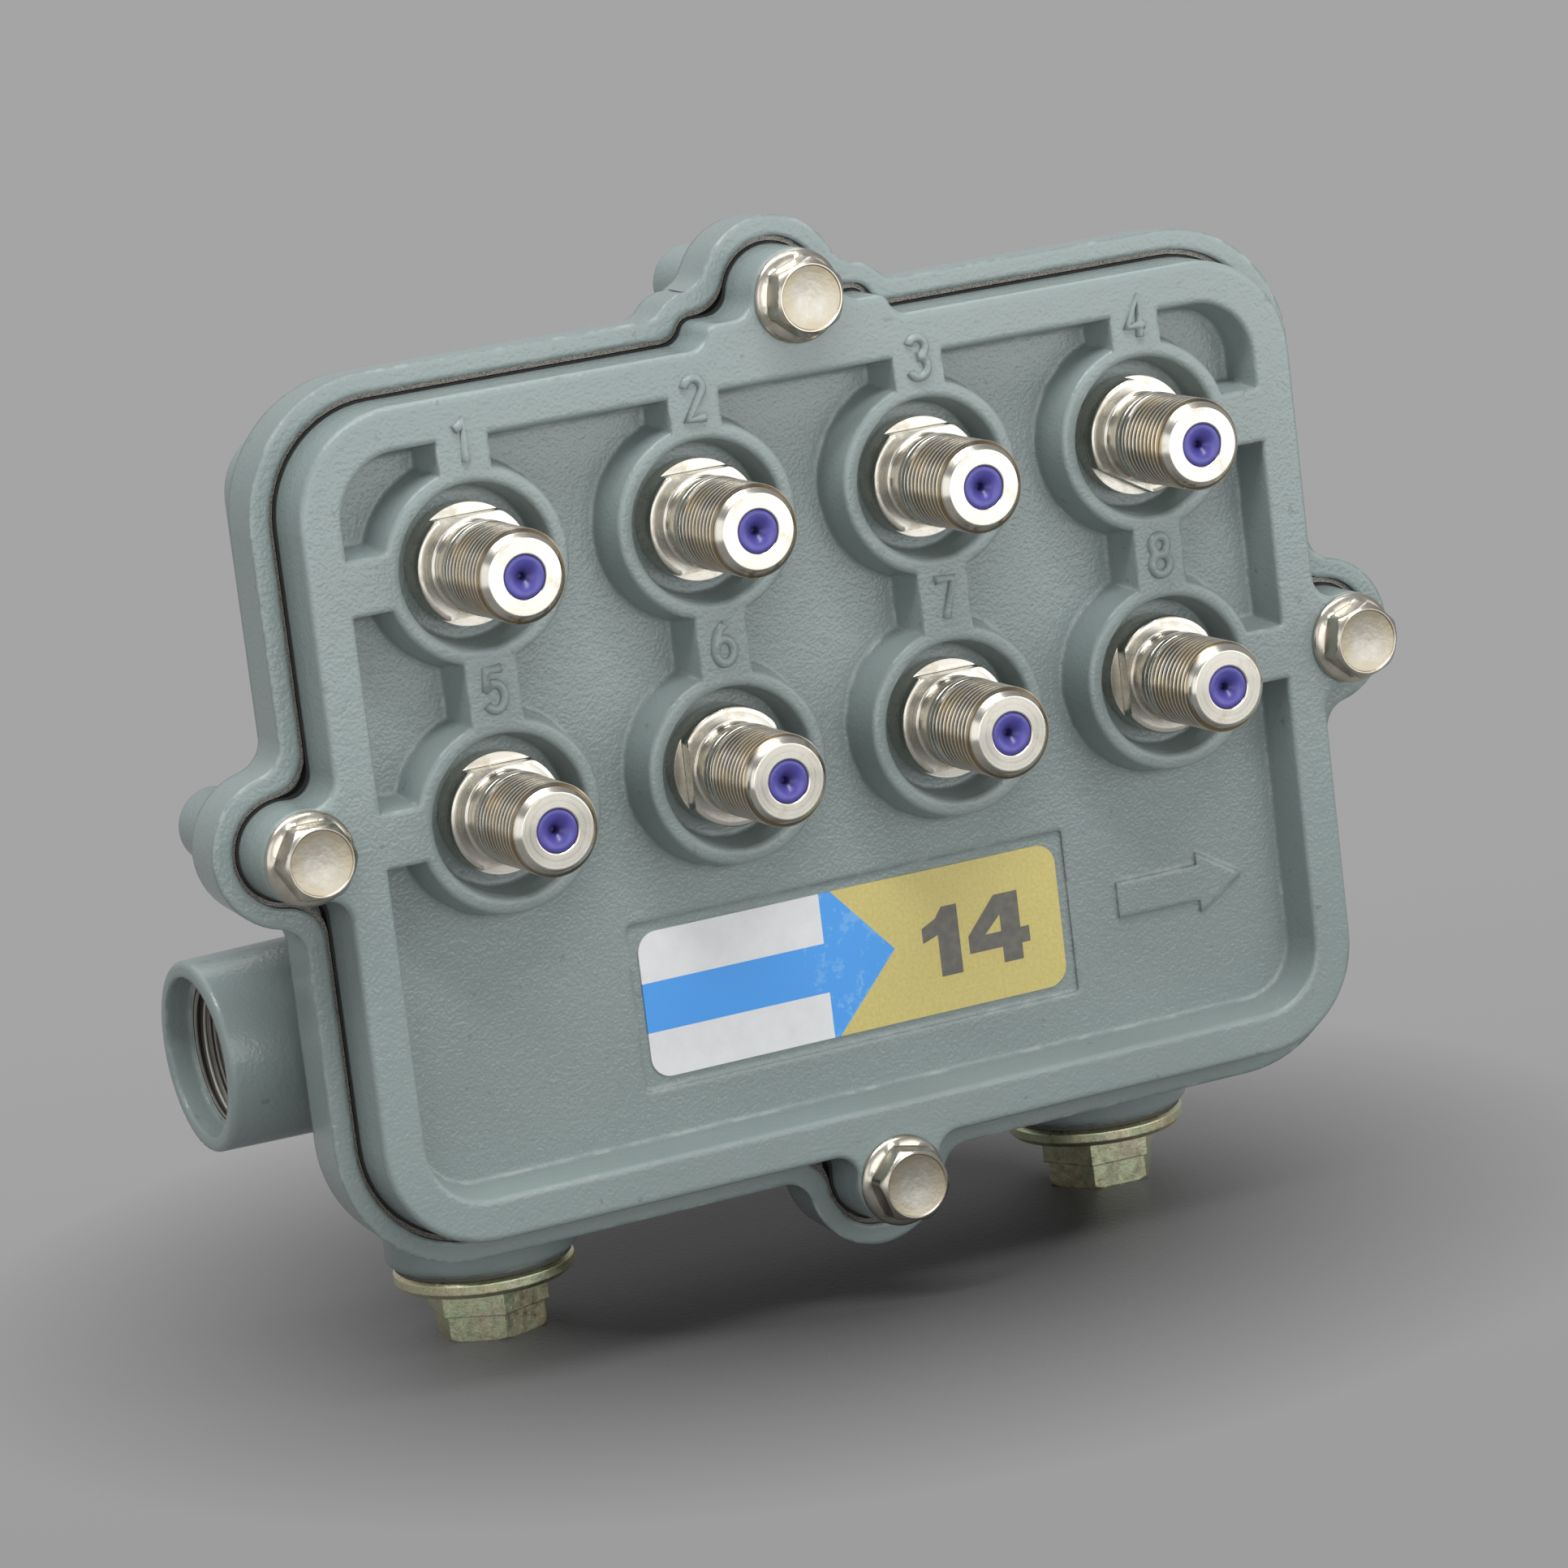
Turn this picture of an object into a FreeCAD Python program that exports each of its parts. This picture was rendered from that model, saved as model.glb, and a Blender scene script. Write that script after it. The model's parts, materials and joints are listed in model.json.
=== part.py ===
"""Eight-way outdoor cable TV tap: cast housing and cover, F ports, plugs and strand clamp.

Model frame of the pieces: X to the right, Y into the tap, Z up. Y is 0 on the cover's rim and
Z is 0 on the lower port row. Every piece is then placed so that the part's origin lies on the
axis of the strand that the clamp at the back holds. Lengths are millimetres.
"""
import FreeCAD, Part
import math
import os

import Sketcher
from FreeCAD import Placement, Rotation, Vector

doc = FreeCAD.newDocument("CableTap")

# Driving dimensions
SIZES = {
    # F ports on the cover
    "port_pitch": 25.4,
    "tip_height": 11.6,
    "tip_radius": 3.82,
    "tip_chamfer": 0.9,
    "thread_radius": 4.75,
    "thread_foot": 2.4,
    "neck_radius": 4.4,
    "base_radius": 6.2,
    "base_height": 3.6,
    "base_edge": 0.4,
    "base_flat": 5.0,
    "base_flat_depth": 1.5,
    "stem_radius": 5.0,
    "stem_gap": 0.03,
    "stake_radius": 5.6,
    "stake_height": 0.7,
    "port_mouth_radius": 2.2,
    "port_mouth_depth": 2.0,
    "port_bore_radius": 3.0,
    "insulator_gap": 0.04,
    "insulator_set_back": 0.15,
    "wire_hole_radius": 0.5,
    "wire_funnel_radius": 1.1,
    "wire_funnel_depth": 0.5,
    "contact_radius": 0.85,
    "contact_bore": 0.45,
    "contact_front": 1.6,
    "contact_tail_radius": 0.4,
    "contact_tail_length": 1.2,
    # Cover casting
    "side_margin": 18.05,
    "end_margin": 17.15,
    "cover_corner": 11.0,
    "cover_depth": 6.5,
    "cover_draft": 1.3,
    "cover_edge": 0.5,
    "cast_edge": 0.4,
    "ear_radius": 4.85,
    "ear_offset": 3.75,
    "ear_blend": 2.5,
    "shoulder_rise": 2.3,
    "shoulder_half_width": 9.1,
    "shoulder_round": 1.3,
    "shoulder_blend": 2.2,
    "rim_width": 4.3,
    "panel_depth": 4.7,
    "panel_corner": 6.7,
    "panel_draft": 10.8,
    "ring_outer": 9.9,
    "ring_wall": 1.5,
    "ring_depth": 4.3,
    "ring_draft": 10.0,
    "web_width": 5.6,
    "label_width": 48.5,
    "label_height": 15.3,
    "label_corner": 2.2,
    "label_rise": 14.75,
    "label_margin": 1.1,
    "label_seat_corner": 0.4,
    "label_seat_depth": 0.3,
    "label_thickness": 0.2,
    "arrow_gap": 6.75,
    "arrow_shaft_length": 9.8,
    "arrow_shaft_height": 3.8,
    "arrow_head_length": 5.3,
    "arrow_head_height": 6.5,
    "arrow_relief": 0.35,
    "skirt_gap": 0.5,
    "skirt_wall": 2.0,
    "skirt_depth": 5.5,
    # Cover bolts
    "bolt_radius": 2.4,
    "bolt_clearance": 0.25,
    "bolt_thread_gap": 0.05,
    "bolt_grip": 10.0,
    "bolt_flange": 1.0,
    "bolt_flange_radius": 4.8,
    "bolt_hex": 7.3,
    "bolt_head": 3.5,
    "bolt_dish_radius": 3.0,
    "bolt_dish_depth": 0.5,
    "bolt_corner_cut": 0.4,
    # Gaskets between cover and housing
    "gasket_thickness": 1.5,
    "mesh_outer": 0.95,
    "mesh_inner": 0.45,
    "rubber_outer": 0.35,
    "rubber_inner": -1.0,
    # Housing casting
    "flange_front": 5.85,
    "flange_thickness": 6.75,
    "flange_draft": 3.4,
    "lip_gap": 1.0,
    "lip_width": 2.1,
    "lip_blend": 4.0,
    "flange_blend": 3.0,
    "body_inset_wide": 3.65,
    "body_inset_high": 2.55,
    "body_corner": 9.0,
    "body_draft": 3.5,
    "body_depth": 38.0,
    "body_edge": 4.0,
    "body_root": 1.2,
    "body_wall": 3.5,
    "boss_radius": 4.0,
    "boss_length": 13.9,
    "boss_edge": 0.8,
    "boss_web": 5.0,
    # Entry ports, 5/8-24 thread
    "entry_to_back": 11.4,
    "entry_rise": 16.4,
    "entry_length": 12.7,
    "entry_radius": 10.0,
    "entry_draft": 1.0,
    "entry_edge": 0.6,
    "entry_mouth_radius": 8.4,
    "entry_mouth_depth": 2.75,
    "entry_thread_radius": 7.94,
    "entry_thread_length": 13.0,
    "entry_bore": 6.0,
    "drop_inset": 15.6,
    "drop_boss_radius": 10.2,
    "drop_boss_length": 10.7,
    "drop_boss_edge": 0.6,
    "drop_spigot_radius": 9.8,
    "drop_spigot_length": 0.3,
    # Port plugs
    "seal_thickness": 0.35,
    "seal_inner": 8.2,
    "seal_outer": 9.4,
    "plug_thread_gap": 0.04,
    "plug_thread_length": 9.0,
    "plug_bore": 5.6,
    "plug_flange_radius": 9.6,
    "plug_flange": 1.95,
    "plug_flange_edge": 0.5,
    "plug_upper_hex": 11.5,
    "plug_upper_height": 3.0,
    "plug_lower_hex": 10.6,
    "plug_lower_height": 2.8,
    # Splitter board
    "post_radius": 3.0,
    "post_length": 4.5,
    "board_thickness": 1.6,
    "board_gap": 1.0,
    "board_corner": 3.0,
    "board_hole_gap": 0.1,
    "board_screw_radius": 1.4,
    "board_screw_gap": 0.05,
    "board_screw_length": 5.0,
    "board_screw_head": 2.6,
    "board_screw_head_height": 1.6,
    "core_outer": 2.6,
    "core_inner": 1.0,
    "core_height": 3.5,
    # Through line: seizure posts in the housing
    "block_half_size": 7.5,
    "block_before_wire": 7.1,
    "terminal_radius": 5.0,
    "terminal_length": 11.5,
    "wire_entry_radius": 1.8,
    "seizure_screw_radius": 1.75,
    "seizure_screw_gap": 0.05,
    "seizure_head_radius": 2.6,
    "seizure_head_height": 1.8,
    "pin_radius": 0.8,
    "pin_gap": 0.05,
    "pin_offset": 3.4,
    "pin_seat": 4.0,
    # Strand clamp at the back
    "strand_radius": 4.0,
    "strand_gap": 8.0,
    "strand_drop": 10.0,
    "clamp_gap": 1.0,
    "pad_half_width": 14.0,
    "pad_above": 7.5,
    "pad_below": 23.0,
    "pad_edge": 0.8,
    "jaw_thickness": 7.0,
    "jaw_below": 22.0,
    "heel_height": 4.0,
    "jaw_edge": 1.5,
    "clamp_bolt_drop": 11.5,
    "clamp_bolt_radius": 3.97,
    "clamp_thread_gap": 0.05,
    "clamp_hole_gap": 0.3,
    "clamp_thread_depth": 8.8,
    "clamp_thread_spare": 1.3,
    "clamp_washer_radius": 7.2,
    "clamp_washer_thickness": 2.0,
    "clamp_hex": 12.7,
    "clamp_head": 5.2,
    "clamp_corner_cut": 0.6,
}

# How far each F port, bolt and plug happens to be turned, in degrees
PORT_TURNS = [0, 0, 0, 30, 0, 90, 0, 90]
BOLT_TURNS = {"top": 10, "bottom": 42, "left": 30, "right": 12}
PLUG_TURNS = {"left": -98, "right": 55}

sheet = doc.addObject("Spreadsheet::Sheet", "Sizes")
for row, (alias, number) in enumerate(SIZES.items(), start=1):
    sheet.set(f"A{row}", alias)
    sheet.set(f"B{row}", str(number))
    sheet.setAlias(f"B{row}", alias)
doc.recompute()


class Size:
    """A length that holds its number and the sheet expression it comes from."""

    def __init__(self, number, text):
        self.number = number
        self.text = text

    def __add__(self, other):
        other = as_size(other)
        return Size(self.number + other.number, f"({self.text} + {other.text})")

    def __sub__(self, other):
        other = as_size(other)
        return Size(self.number - other.number, f"({self.text} - {other.text})")

    def __mul__(self, factor):
        return Size(self.number * factor, f"({self.text} * {factor!r})")

    def __neg__(self):
        return self * -1.0


def as_size(value):
    return value if isinstance(value, Size) else Size(float(value), repr(float(value)))


def size(alias):
    return Size(float(sheet.get(alias)), f"Sizes.{alias}")


ZERO = as_size(0)
HEX_CORNER = 1 / math.sqrt(3)


def bind(thing, path, value):
    """Tie one property of an object to its sheet expression."""
    thing.setExpression(path, as_size(value).text)


# Bodies, sketches and features

def new_body(label):
    body = doc.addObject("PartDesign::Body", label)
    body.Label = label
    return body


def origin_plane(body, role):
    return next(item for item in body.Origin.OriginFeatures if item.Role == role)


def place(body, x=ZERO, y=ZERO, z=ZERO, axis=Vector(0, 1, 0), turn=0.0):
    """Put a body at a point of the model frame, seen from the part's origin on the strand."""
    point = (as_size(x), y - STRAND_DEPTH, z - STRAND_HEIGHT)
    body.Placement = Placement(Vector(*(part.number for part in point)), Rotation(axis, turn))
    for letter, part in zip("xyz", point):
        bind(body, f"Placement.Base.{letter}", part)
    return body


def new_sketch(body, role, offset=ZERO):
    """A sketch on an origin plane of its body, moved along that plane's normal."""
    sketch = body.newObject("Sketcher::SketchObject", "Sketch")
    sketch.AttachmentSupport = (origin_plane(body, role), [""])
    sketch.MapMode = "FlatFace"
    sketch.AttachmentOffset = Placement(Vector(0, 0, as_size(offset).number), Rotation())
    bind(sketch, "AttachmentOffset.Base.z", offset)
    return sketch


def front_sketch(body, depth=ZERO):
    """A sketch across the tap at a depth behind the rim: its axes are X and Z."""
    return new_sketch(body, "XZ_Plane", -as_size(depth))


def constrain(sketch, value, kind, *where):
    """Add one dimension and tie it to the sheet."""
    index = sketch.addConstraint(Sketcher.Constraint(kind, *where, value.number))
    name = f"{kind}{index}"
    sketch.renameConstraint(index, name)
    bind(sketch, f"Constraints.{name}", value)


def pin_point(sketch, geometry, point, u, v):
    """Hold a point of the sketch at (u, v) from the sketch origin."""
    for kind, line, value in (("DistanceX", -2, u), ("DistanceY", -1, v)):
        value = as_size(value)
        if abs(value.number) < 1e-9:
            sketch.addConstraint(Sketcher.Constraint("PointOnObject", geometry, point, line))
        else:
            constrain(sketch, value, kind, -1, 1, geometry, point)


def add_circle(sketch, u, v, radius):
    centre = Vector(as_size(u).number, as_size(v).number, 0)
    index = sketch.addGeometry(Part.Circle(centre, Vector(0, 0, 1), radius.number), False)
    pin_point(sketch, index, 3, u, v)
    constrain(sketch, radius, "Radius", index)


def add_polygon(sketch, corners):
    """Straight closed outline: every corner is held by its two sizes."""
    points = [Vector(as_size(u).number, as_size(v).number, 0) for u, v in corners]
    first = sketch.GeometryCount
    for start, end in zip(points, points[1:] + points[:1]):
        sketch.addGeometry(Part.LineSegment(start, end), False)
    count = len(corners)
    for step in range(count):
        follower = first + (step + 1) % count
        sketch.addConstraint(Sketcher.Constraint("Coincident", first + step, 2, follower, 1))
    for step, (u, v) in enumerate(corners):
        pin_point(sketch, first + step, 1, u, v)


def box_corners(left, right, low, high):
    return [(left, low), (right, low), (right, high), (left, high)]


class Chain:
    """Closed outline of lines and arcs that meet tangentially, drawn in order."""

    def __init__(self, sketch):
        self.sketch = sketch
        self.first = sketch.GeometryCount
        self.items = []

    def line(self, start, end):
        self.items.append((Part.LineSegment(Vector(*start, 0), Vector(*end, 0)), (1, 2)))

    def arc(self, centre, radius, start, end):
        """Arc from one angle to another; it runs clockwise where the end is the smaller."""
        low, high = min(start, end), max(start, end)
        circle = Part.Circle(Vector(*centre, 0), Vector(0, 0, 1), radius)
        ends = (1, 2) if end > start else (2, 1)
        self.items.append((Part.ArcOfCircle(circle, low, high), ends))

    def close(self):
        for geometry, _ in self.items:
            self.sketch.addGeometry(geometry, False)
        joints = []
        for step, (_, ends) in enumerate(self.items):
            follower = (step + 1) % len(self.items)
            start = self.items[follower][1][0]
            joints.append(Sketcher.Constraint("Tangent", self.first + step, ends[1],
                                              self.first + follower, start))
        self.sketch.addConstraint(joints)


def add_rounded_box(sketch, half_u, half_v, corner, middle_v=ZERO):
    """Rounded rectangle about u = 0 and v = middle_v."""
    half_u, half_v, corner = as_size(half_u), as_size(half_v), as_size(corner)
    middle_v = as_size(middle_v)
    chain = Chain(sketch)
    a, b, r, m = half_u.number, half_v.number, corner.number, middle_v.number
    quarter = math.pi / 2
    corners = [(a - r, m + b - r), (r - a, m + b - r), (r - a, m + r - b), (a - r, m + r - b)]
    ends = [((a - r, m + b), (r - a, m + b)), ((-a, m + b - r), (-a, m + r - b)),
            ((r - a, m - b), (a - r, m - b)), ((a, m + r - b), (a, m + b - r))]
    for step in range(4):
        chain.arc(corners[step], r, step * quarter, (step + 1) * quarter)
        chain.line(*ends[step])
    chain.close()
    first = chain.first
    for step in range(4):
        constrain(sketch, corner, "Radius", first + 2 * step)
        kind = "Horizontal" if step % 2 == 0 else "Vertical"
        sketch.addConstraint(Sketcher.Constraint(kind, first + 2 * step + 1))
    constrain(sketch, middle_v + half_v, "DistanceY", -1, 1, first + 1, 1)
    constrain(sketch, middle_v - half_v, "DistanceY", -1, 1, first + 5, 1)
    constrain(sketch, -half_u, "DistanceX", -1, 1, first + 3, 1)
    constrain(sketch, half_u, "DistanceX", -1, 1, first + 7, 1)


def add_eared_outline(sketch, grow, blend, shoulder_blend):
    """The cover's outline, moved out by grow: four ears, and shoulders beside the top one."""
    half_width = COVER_HALF_WIDTH + grow
    half_height = COVER_HALF_HEIGHT + grow
    corner = size("cover_corner") + grow
    ear = size("ear_radius") + grow
    rise = size("shoulder_rise")
    round_over = size("shoulder_round") + grow
    shoulder_end = size("shoulder_half_width")
    a, b, r = half_width.number, half_height.number, corner.number
    ear_radius, blend_radius = ear.number, blend.number
    ear_x = (COVER_HALF_WIDTH + size("ear_offset"))
    ear_z = (COVER_HALF_HEIGHT + size("ear_offset"))
    quarter = math.pi / 2
    chain = Chain(sketch)
    marks = {"ears": [], "blends": [], "corners": [], "rounds": [], "shoulder_blends": []}
    lines = []

    def mark(group):
        marks[group].append(chain.first + len(chain.items) - 1)

    def turned(point, side):
        """Rotate a point of the top side by quarter turns, against the clock."""
        u, v = point
        for _ in range(side):
            u, v = -v, u
        return u, v

    def ear_run(side, straight, ear_centre):
        """Blend, ear and blend, on a side whose straight edge lies at this distance."""
        turn = side * quarter
        drop = ear_centre - straight - blend_radius
        reach = math.sqrt((ear_radius + blend_radius) ** 2 - drop ** 2)
        lean = math.atan2(drop, reach)
        entry = (reach, straight + blend_radius)
        leave = (-reach, straight + blend_radius)
        chain.arc(turned(entry, side), blend_radius, 3 * quarter + turn, math.pi - lean + turn)
        mark("blends")
        chain.arc(turned((0, ear_centre), side), ear_radius, -lean + turn, math.pi + lean + turn)
        mark("ears")
        chain.arc(turned(leave, side), blend_radius, lean + turn, turn - quarter)
        mark("blends")

    def edge(start, end, side):
        chain.line(turned(start, side), turned(end, side))
        lines.append((side, chain.first + len(chain.items) - 1))

    def shoulder(side_sign):
        """Step of the top edge, as a blend and a round."""
        reach_sum = round_over.number + shoulder_blend.number
        tilt = math.acos(1 - rise.number / reach_sum)
        run = reach_sum * math.sin(tilt)
        step_x = shoulder_end.number
        outer = (side_sign * (step_x + run), b + shoulder_blend.number)
        inner = (side_sign * step_x, b + rise.number - round_over.number)
        if side_sign > 0:
            chain.arc(outer, shoulder_blend.number, 3 * quarter, 3 * quarter - tilt)
            mark("shoulder_blends")
            chain.arc(inner, round_over.number, quarter - tilt, quarter)
            mark("rounds")
        else:
            chain.arc(inner, round_over.number, quarter, quarter + tilt)
            mark("rounds")
            chain.arc(outer, shoulder_blend.number, tilt - quarter, -quarter)
            mark("shoulder_blends")

    # Top side, right to left: corner, edge, shoulder, ear, shoulder, edge
    top_run = shoulder_end.number
    tilt_sum = round_over.number + shoulder_blend.number
    run = math.sqrt(tilt_sum ** 2 - (tilt_sum - rise.number) ** 2)
    shelf = b + rise.number
    shelf_drop = ear_z.number - shelf - blend_radius
    shelf_reach = math.sqrt((ear_radius + blend_radius) ** 2 - shelf_drop ** 2)
    chain.arc((a - r, b - r), r, 0, quarter)
    mark("corners")
    edge((a - r, b), (top_run + run, b), 0)
    shoulder(1)
    edge((top_run, shelf), (shelf_reach, shelf), 0)
    shelf_lines = [lines[-1][1]]
    ear_run(0, shelf, ear_z.number)
    edge((-shelf_reach, shelf), (-top_run, shelf), 0)
    shelf_lines.append(lines[-1][1])
    shoulder(-1)
    edge((-top_run - run, b), (r - a, b), 0)

    # Left, bottom and right sides: corner, edge, ear, edge
    for side, straight, along, ear_centre in ((1, a, b, ear_x), (2, b, a, ear_z), (3, a, b, ear_x)):
        chain.arc(turned((along - r, straight - r), side), r, side * quarter, (side + 1) * quarter)
        mark("corners")
        drop = ear_centre.number - straight - blend_radius
        reach = math.sqrt((ear_radius + blend_radius) ** 2 - drop ** 2)
        edge((along - r, straight), (reach, straight), side)
        ear_run(side, straight, ear_centre.number)
        edge((-reach, straight), (r - along, straight), side)
    chain.close()

    for group, radius in (("ears", ear), ("blends", blend), ("corners", corner),
                          ("rounds", round_over), ("shoulder_blends", shoulder_blend)):
        for index in marks[group]:
            constrain(sketch, radius, "Radius", index)
    distances = {0: half_height, 1: -half_width, 2: -half_height, 3: half_width}
    for side, index in lines:
        kind = "Horizontal" if side % 2 == 0 else "Vertical"
        sketch.addConstraint(Sketcher.Constraint(kind, index))
        distance = distances[side]
        if index in shelf_lines:
            distance = half_height + rise
        axis = "DistanceY" if side % 2 == 0 else "DistanceX"
        constrain(sketch, distance, axis, -1, 1, index, 1)
    ear_points = [(ZERO, ear_z), (-ear_x, ZERO), (ZERO, -ear_z), (ear_x, ZERO)]
    for index, (u, v) in zip(marks["ears"], ear_points):
        pin_point(sketch, index, 3, u, v)
    for index, sign in zip(marks["rounds"], (1.0, -1.0)):
        constrain(sketch, shoulder_end * sign, "DistanceX", -1, 1, index, 3)


def feature(body, kind, sketch, **sizes):
    """Add a sketch based feature whose named properties are tied to the sheet."""
    item = body.newObject(f"PartDesign::{kind}", kind)
    item.Profile = sketch
    for path, value in sizes.items():
        value = as_size(value)
        setattr(item, path, value.number)
        bind(item, path, value)
    sketch.Visibility = False
    return item


def pad(body, sketch, length, back=False, draft=None):
    """Add material along the sketch's normal, or against it with back."""
    item = feature(body, "Pad", sketch, Length=length)
    item.Reversed = back
    if draft is not None:
        item.TaperAngle = draft.number
        bind(item, "TaperAngle", draft)
    return item


def pocket(body, sketch, length, forward=False, draft=None):
    """Cut against the sketch's normal, or along it with forward."""
    item = feature(body, "Pocket", sketch, Length=length)
    item.Reversed = forward
    if draft is not None:
        item.TaperAngle = draft.number
        bind(item, "TaperAngle", draft)
    return item


def turn_round(body, kind, sketch, axis="V_Axis"):
    """Revolve a profile all the way round an axis of its sketch."""
    item = body.newObject(f"PartDesign::{kind}", kind)
    item.Profile = sketch
    item.ReferenceAxis = (sketch, [axis])
    item.Angle = 360.0
    sketch.Visibility = False
    return item


def turned_piece(label, corners, role="XY_Plane"):
    """A lathe-turned piece: corners are (radius, distance along the axis)."""
    body = new_body(label)
    sketch = new_sketch(body, role)
    add_polygon(sketch, corners)
    turn_round(body, "Revolution", sketch)
    return body


def hex_prism(body, across_flats, role, start, length, turn=0.0, back=False):
    """A hexagon raised from an origin plane of the body."""
    prism = body.newObject("PartDesign::AdditivePrism", "Hexagon")
    prism.Polygon = 6
    prism.AttachmentSupport = (origin_plane(body, role), [""])
    prism.MapMode = "FlatFace"
    prism.AttachmentOffset = Placement(Vector(0, 0, start.number), Rotation(Vector(0, 0, 1), turn))
    bind(prism, "AttachmentOffset.Base.z", start)
    prism.Circumradius = across_flats.number * HEX_CORNER
    bind(prism, "Circumradius", across_flats * HEX_CORNER)
    prism.Height = length.number
    bind(prism, "Height", length)
    return prism


def dress(body, kind, base, edges, amount):
    """Round or bevel the named edges of a feature."""
    item = body.newObject(f"PartDesign::{kind}", kind)
    item.Base = (base, edges)
    path = "Radius" if kind == "Fillet" else "Size"
    setattr(item, path, amount.number)
    bind(item, path, amount)
    return item


def edges_where(feature_object, test):
    """Names of the edges whose points all pass the test."""
    names = []
    for index, edge in enumerate(feature_object.Shape.Edges, start=1):
        points = [edge.valueAt(edge.FirstParameter), edge.valueAt(edge.LastParameter),
                  edge.valueAt((edge.FirstParameter + edge.LastParameter) / 2)]
        if all(test(point) for point in points):
            names.append(f"Edge{index}")
    return names


def near(value, target, gap=0.02):
    return abs(value - target) < gap


# Places that several pieces share

COLUMNS = [size("port_pitch") * factor for factor in (-1.5, -0.5, 0.5, 1.5)]
ROWS = [size("port_pitch"), ZERO]
PORTS = [(column, row) for row in ROWS for column in COLUMNS]
COVER_HALF_WIDTH = COLUMNS[-1] + size("side_margin")
COVER_HALF_HEIGHT = size("port_pitch") + size("end_margin")
EAR_X = COVER_HALF_WIDTH + size("ear_offset")
EAR_Z = COVER_HALF_HEIGHT + size("ear_offset")
EARS = {"top": (ZERO, EAR_Z), "bottom": (ZERO, -EAR_Z), "left": (-EAR_X, ZERO), "right": (EAR_X, ZERO)}
SIDES = {"left": -1.0, "right": 1.0}
RING_INNER = size("ring_outer") - size("ring_wall")
PANEL_HALF_WIDTH = COVER_HALF_WIDTH - size("rim_width")
PANEL_HALF_HEIGHT = COVER_HALF_HEIGHT - size("rim_width")
LABEL_DROP = PANEL_HALF_HEIGHT - size("label_rise")
ARROW_LEFT = size("label_width") * 0.5 + size("arrow_gap")
SHELF = size("cover_depth") + size("gasket_thickness")
BOLT_END = SHELF + size("bolt_grip")
FLANGE_BACK = size("flange_front") + size("flange_thickness")
BOSS_END = FLANGE_BACK + size("boss_length")
BODY_HALF_WIDTH = COVER_HALF_WIDTH - size("body_inset_wide")
BODY_HALF_HEIGHT = COVER_HALF_HEIGHT - size("body_inset_high")
CAVITY_HALF_WIDTH = BODY_HALF_WIDTH - size("body_wall")
CAVITY_HALF_HEIGHT = BODY_HALF_HEIGHT - size("body_wall")
CAVITY_CORNER = size("body_corner") - size("body_wall")
CAVITY_BACK = size("body_depth") - size("body_wall")
ENTRY_REACH = BODY_HALF_WIDTH + size("entry_length")
ENTRY_DEPTH = size("body_depth") - size("entry_to_back")
ENTRY_HEIGHT = size("entry_rise") - BODY_HALF_HEIGHT
DROP_OFFSET = BODY_HALF_WIDTH - size("drop_inset")
DROP_BOSS_END = BODY_HALF_HEIGHT + size("drop_boss_length")
DROP_SPIGOT_END = DROP_BOSS_END + size("drop_spigot_length")
BLOCK_FRONT = ENTRY_DEPTH - size("block_before_wire")
SKIRT_HALF_WIDTH = CAVITY_HALF_WIDTH - size("skirt_gap")
SKIRT_HALF_HEIGHT = CAVITY_HALF_HEIGHT - size("skirt_gap")
SKIRT_CORNER = CAVITY_CORNER - size("skirt_gap")
BOARD_FRONT = size("cover_depth") + size("post_length")
BOARD_BACK = BOARD_FRONT + size("board_thickness")
POSTS = [(size("port_pitch") * sign, size("port_pitch") * height)
         for height in (0.5, -1.0) for sign in (-1.0, 1.0)]
STRAND_DEPTH = size("body_depth") + size("strand_gap")
STRAND_HEIGHT = BODY_HALF_HEIGHT - size("strand_drop")
PAD_TOP = STRAND_HEIGHT + size("pad_above")
PAD_BOTTOM = STRAND_HEIGHT - size("pad_below")
PAD_BACK = STRAND_DEPTH - size("clamp_gap")
JAW_BOTTOM = STRAND_HEIGHT - size("jaw_below")
JAW_FRONT = STRAND_DEPTH + size("clamp_gap")
JAW_BACK = JAW_FRONT + size("jaw_thickness")
CLAMP_BOLT_HEIGHT = STRAND_HEIGHT - size("clamp_bolt_drop")


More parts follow.
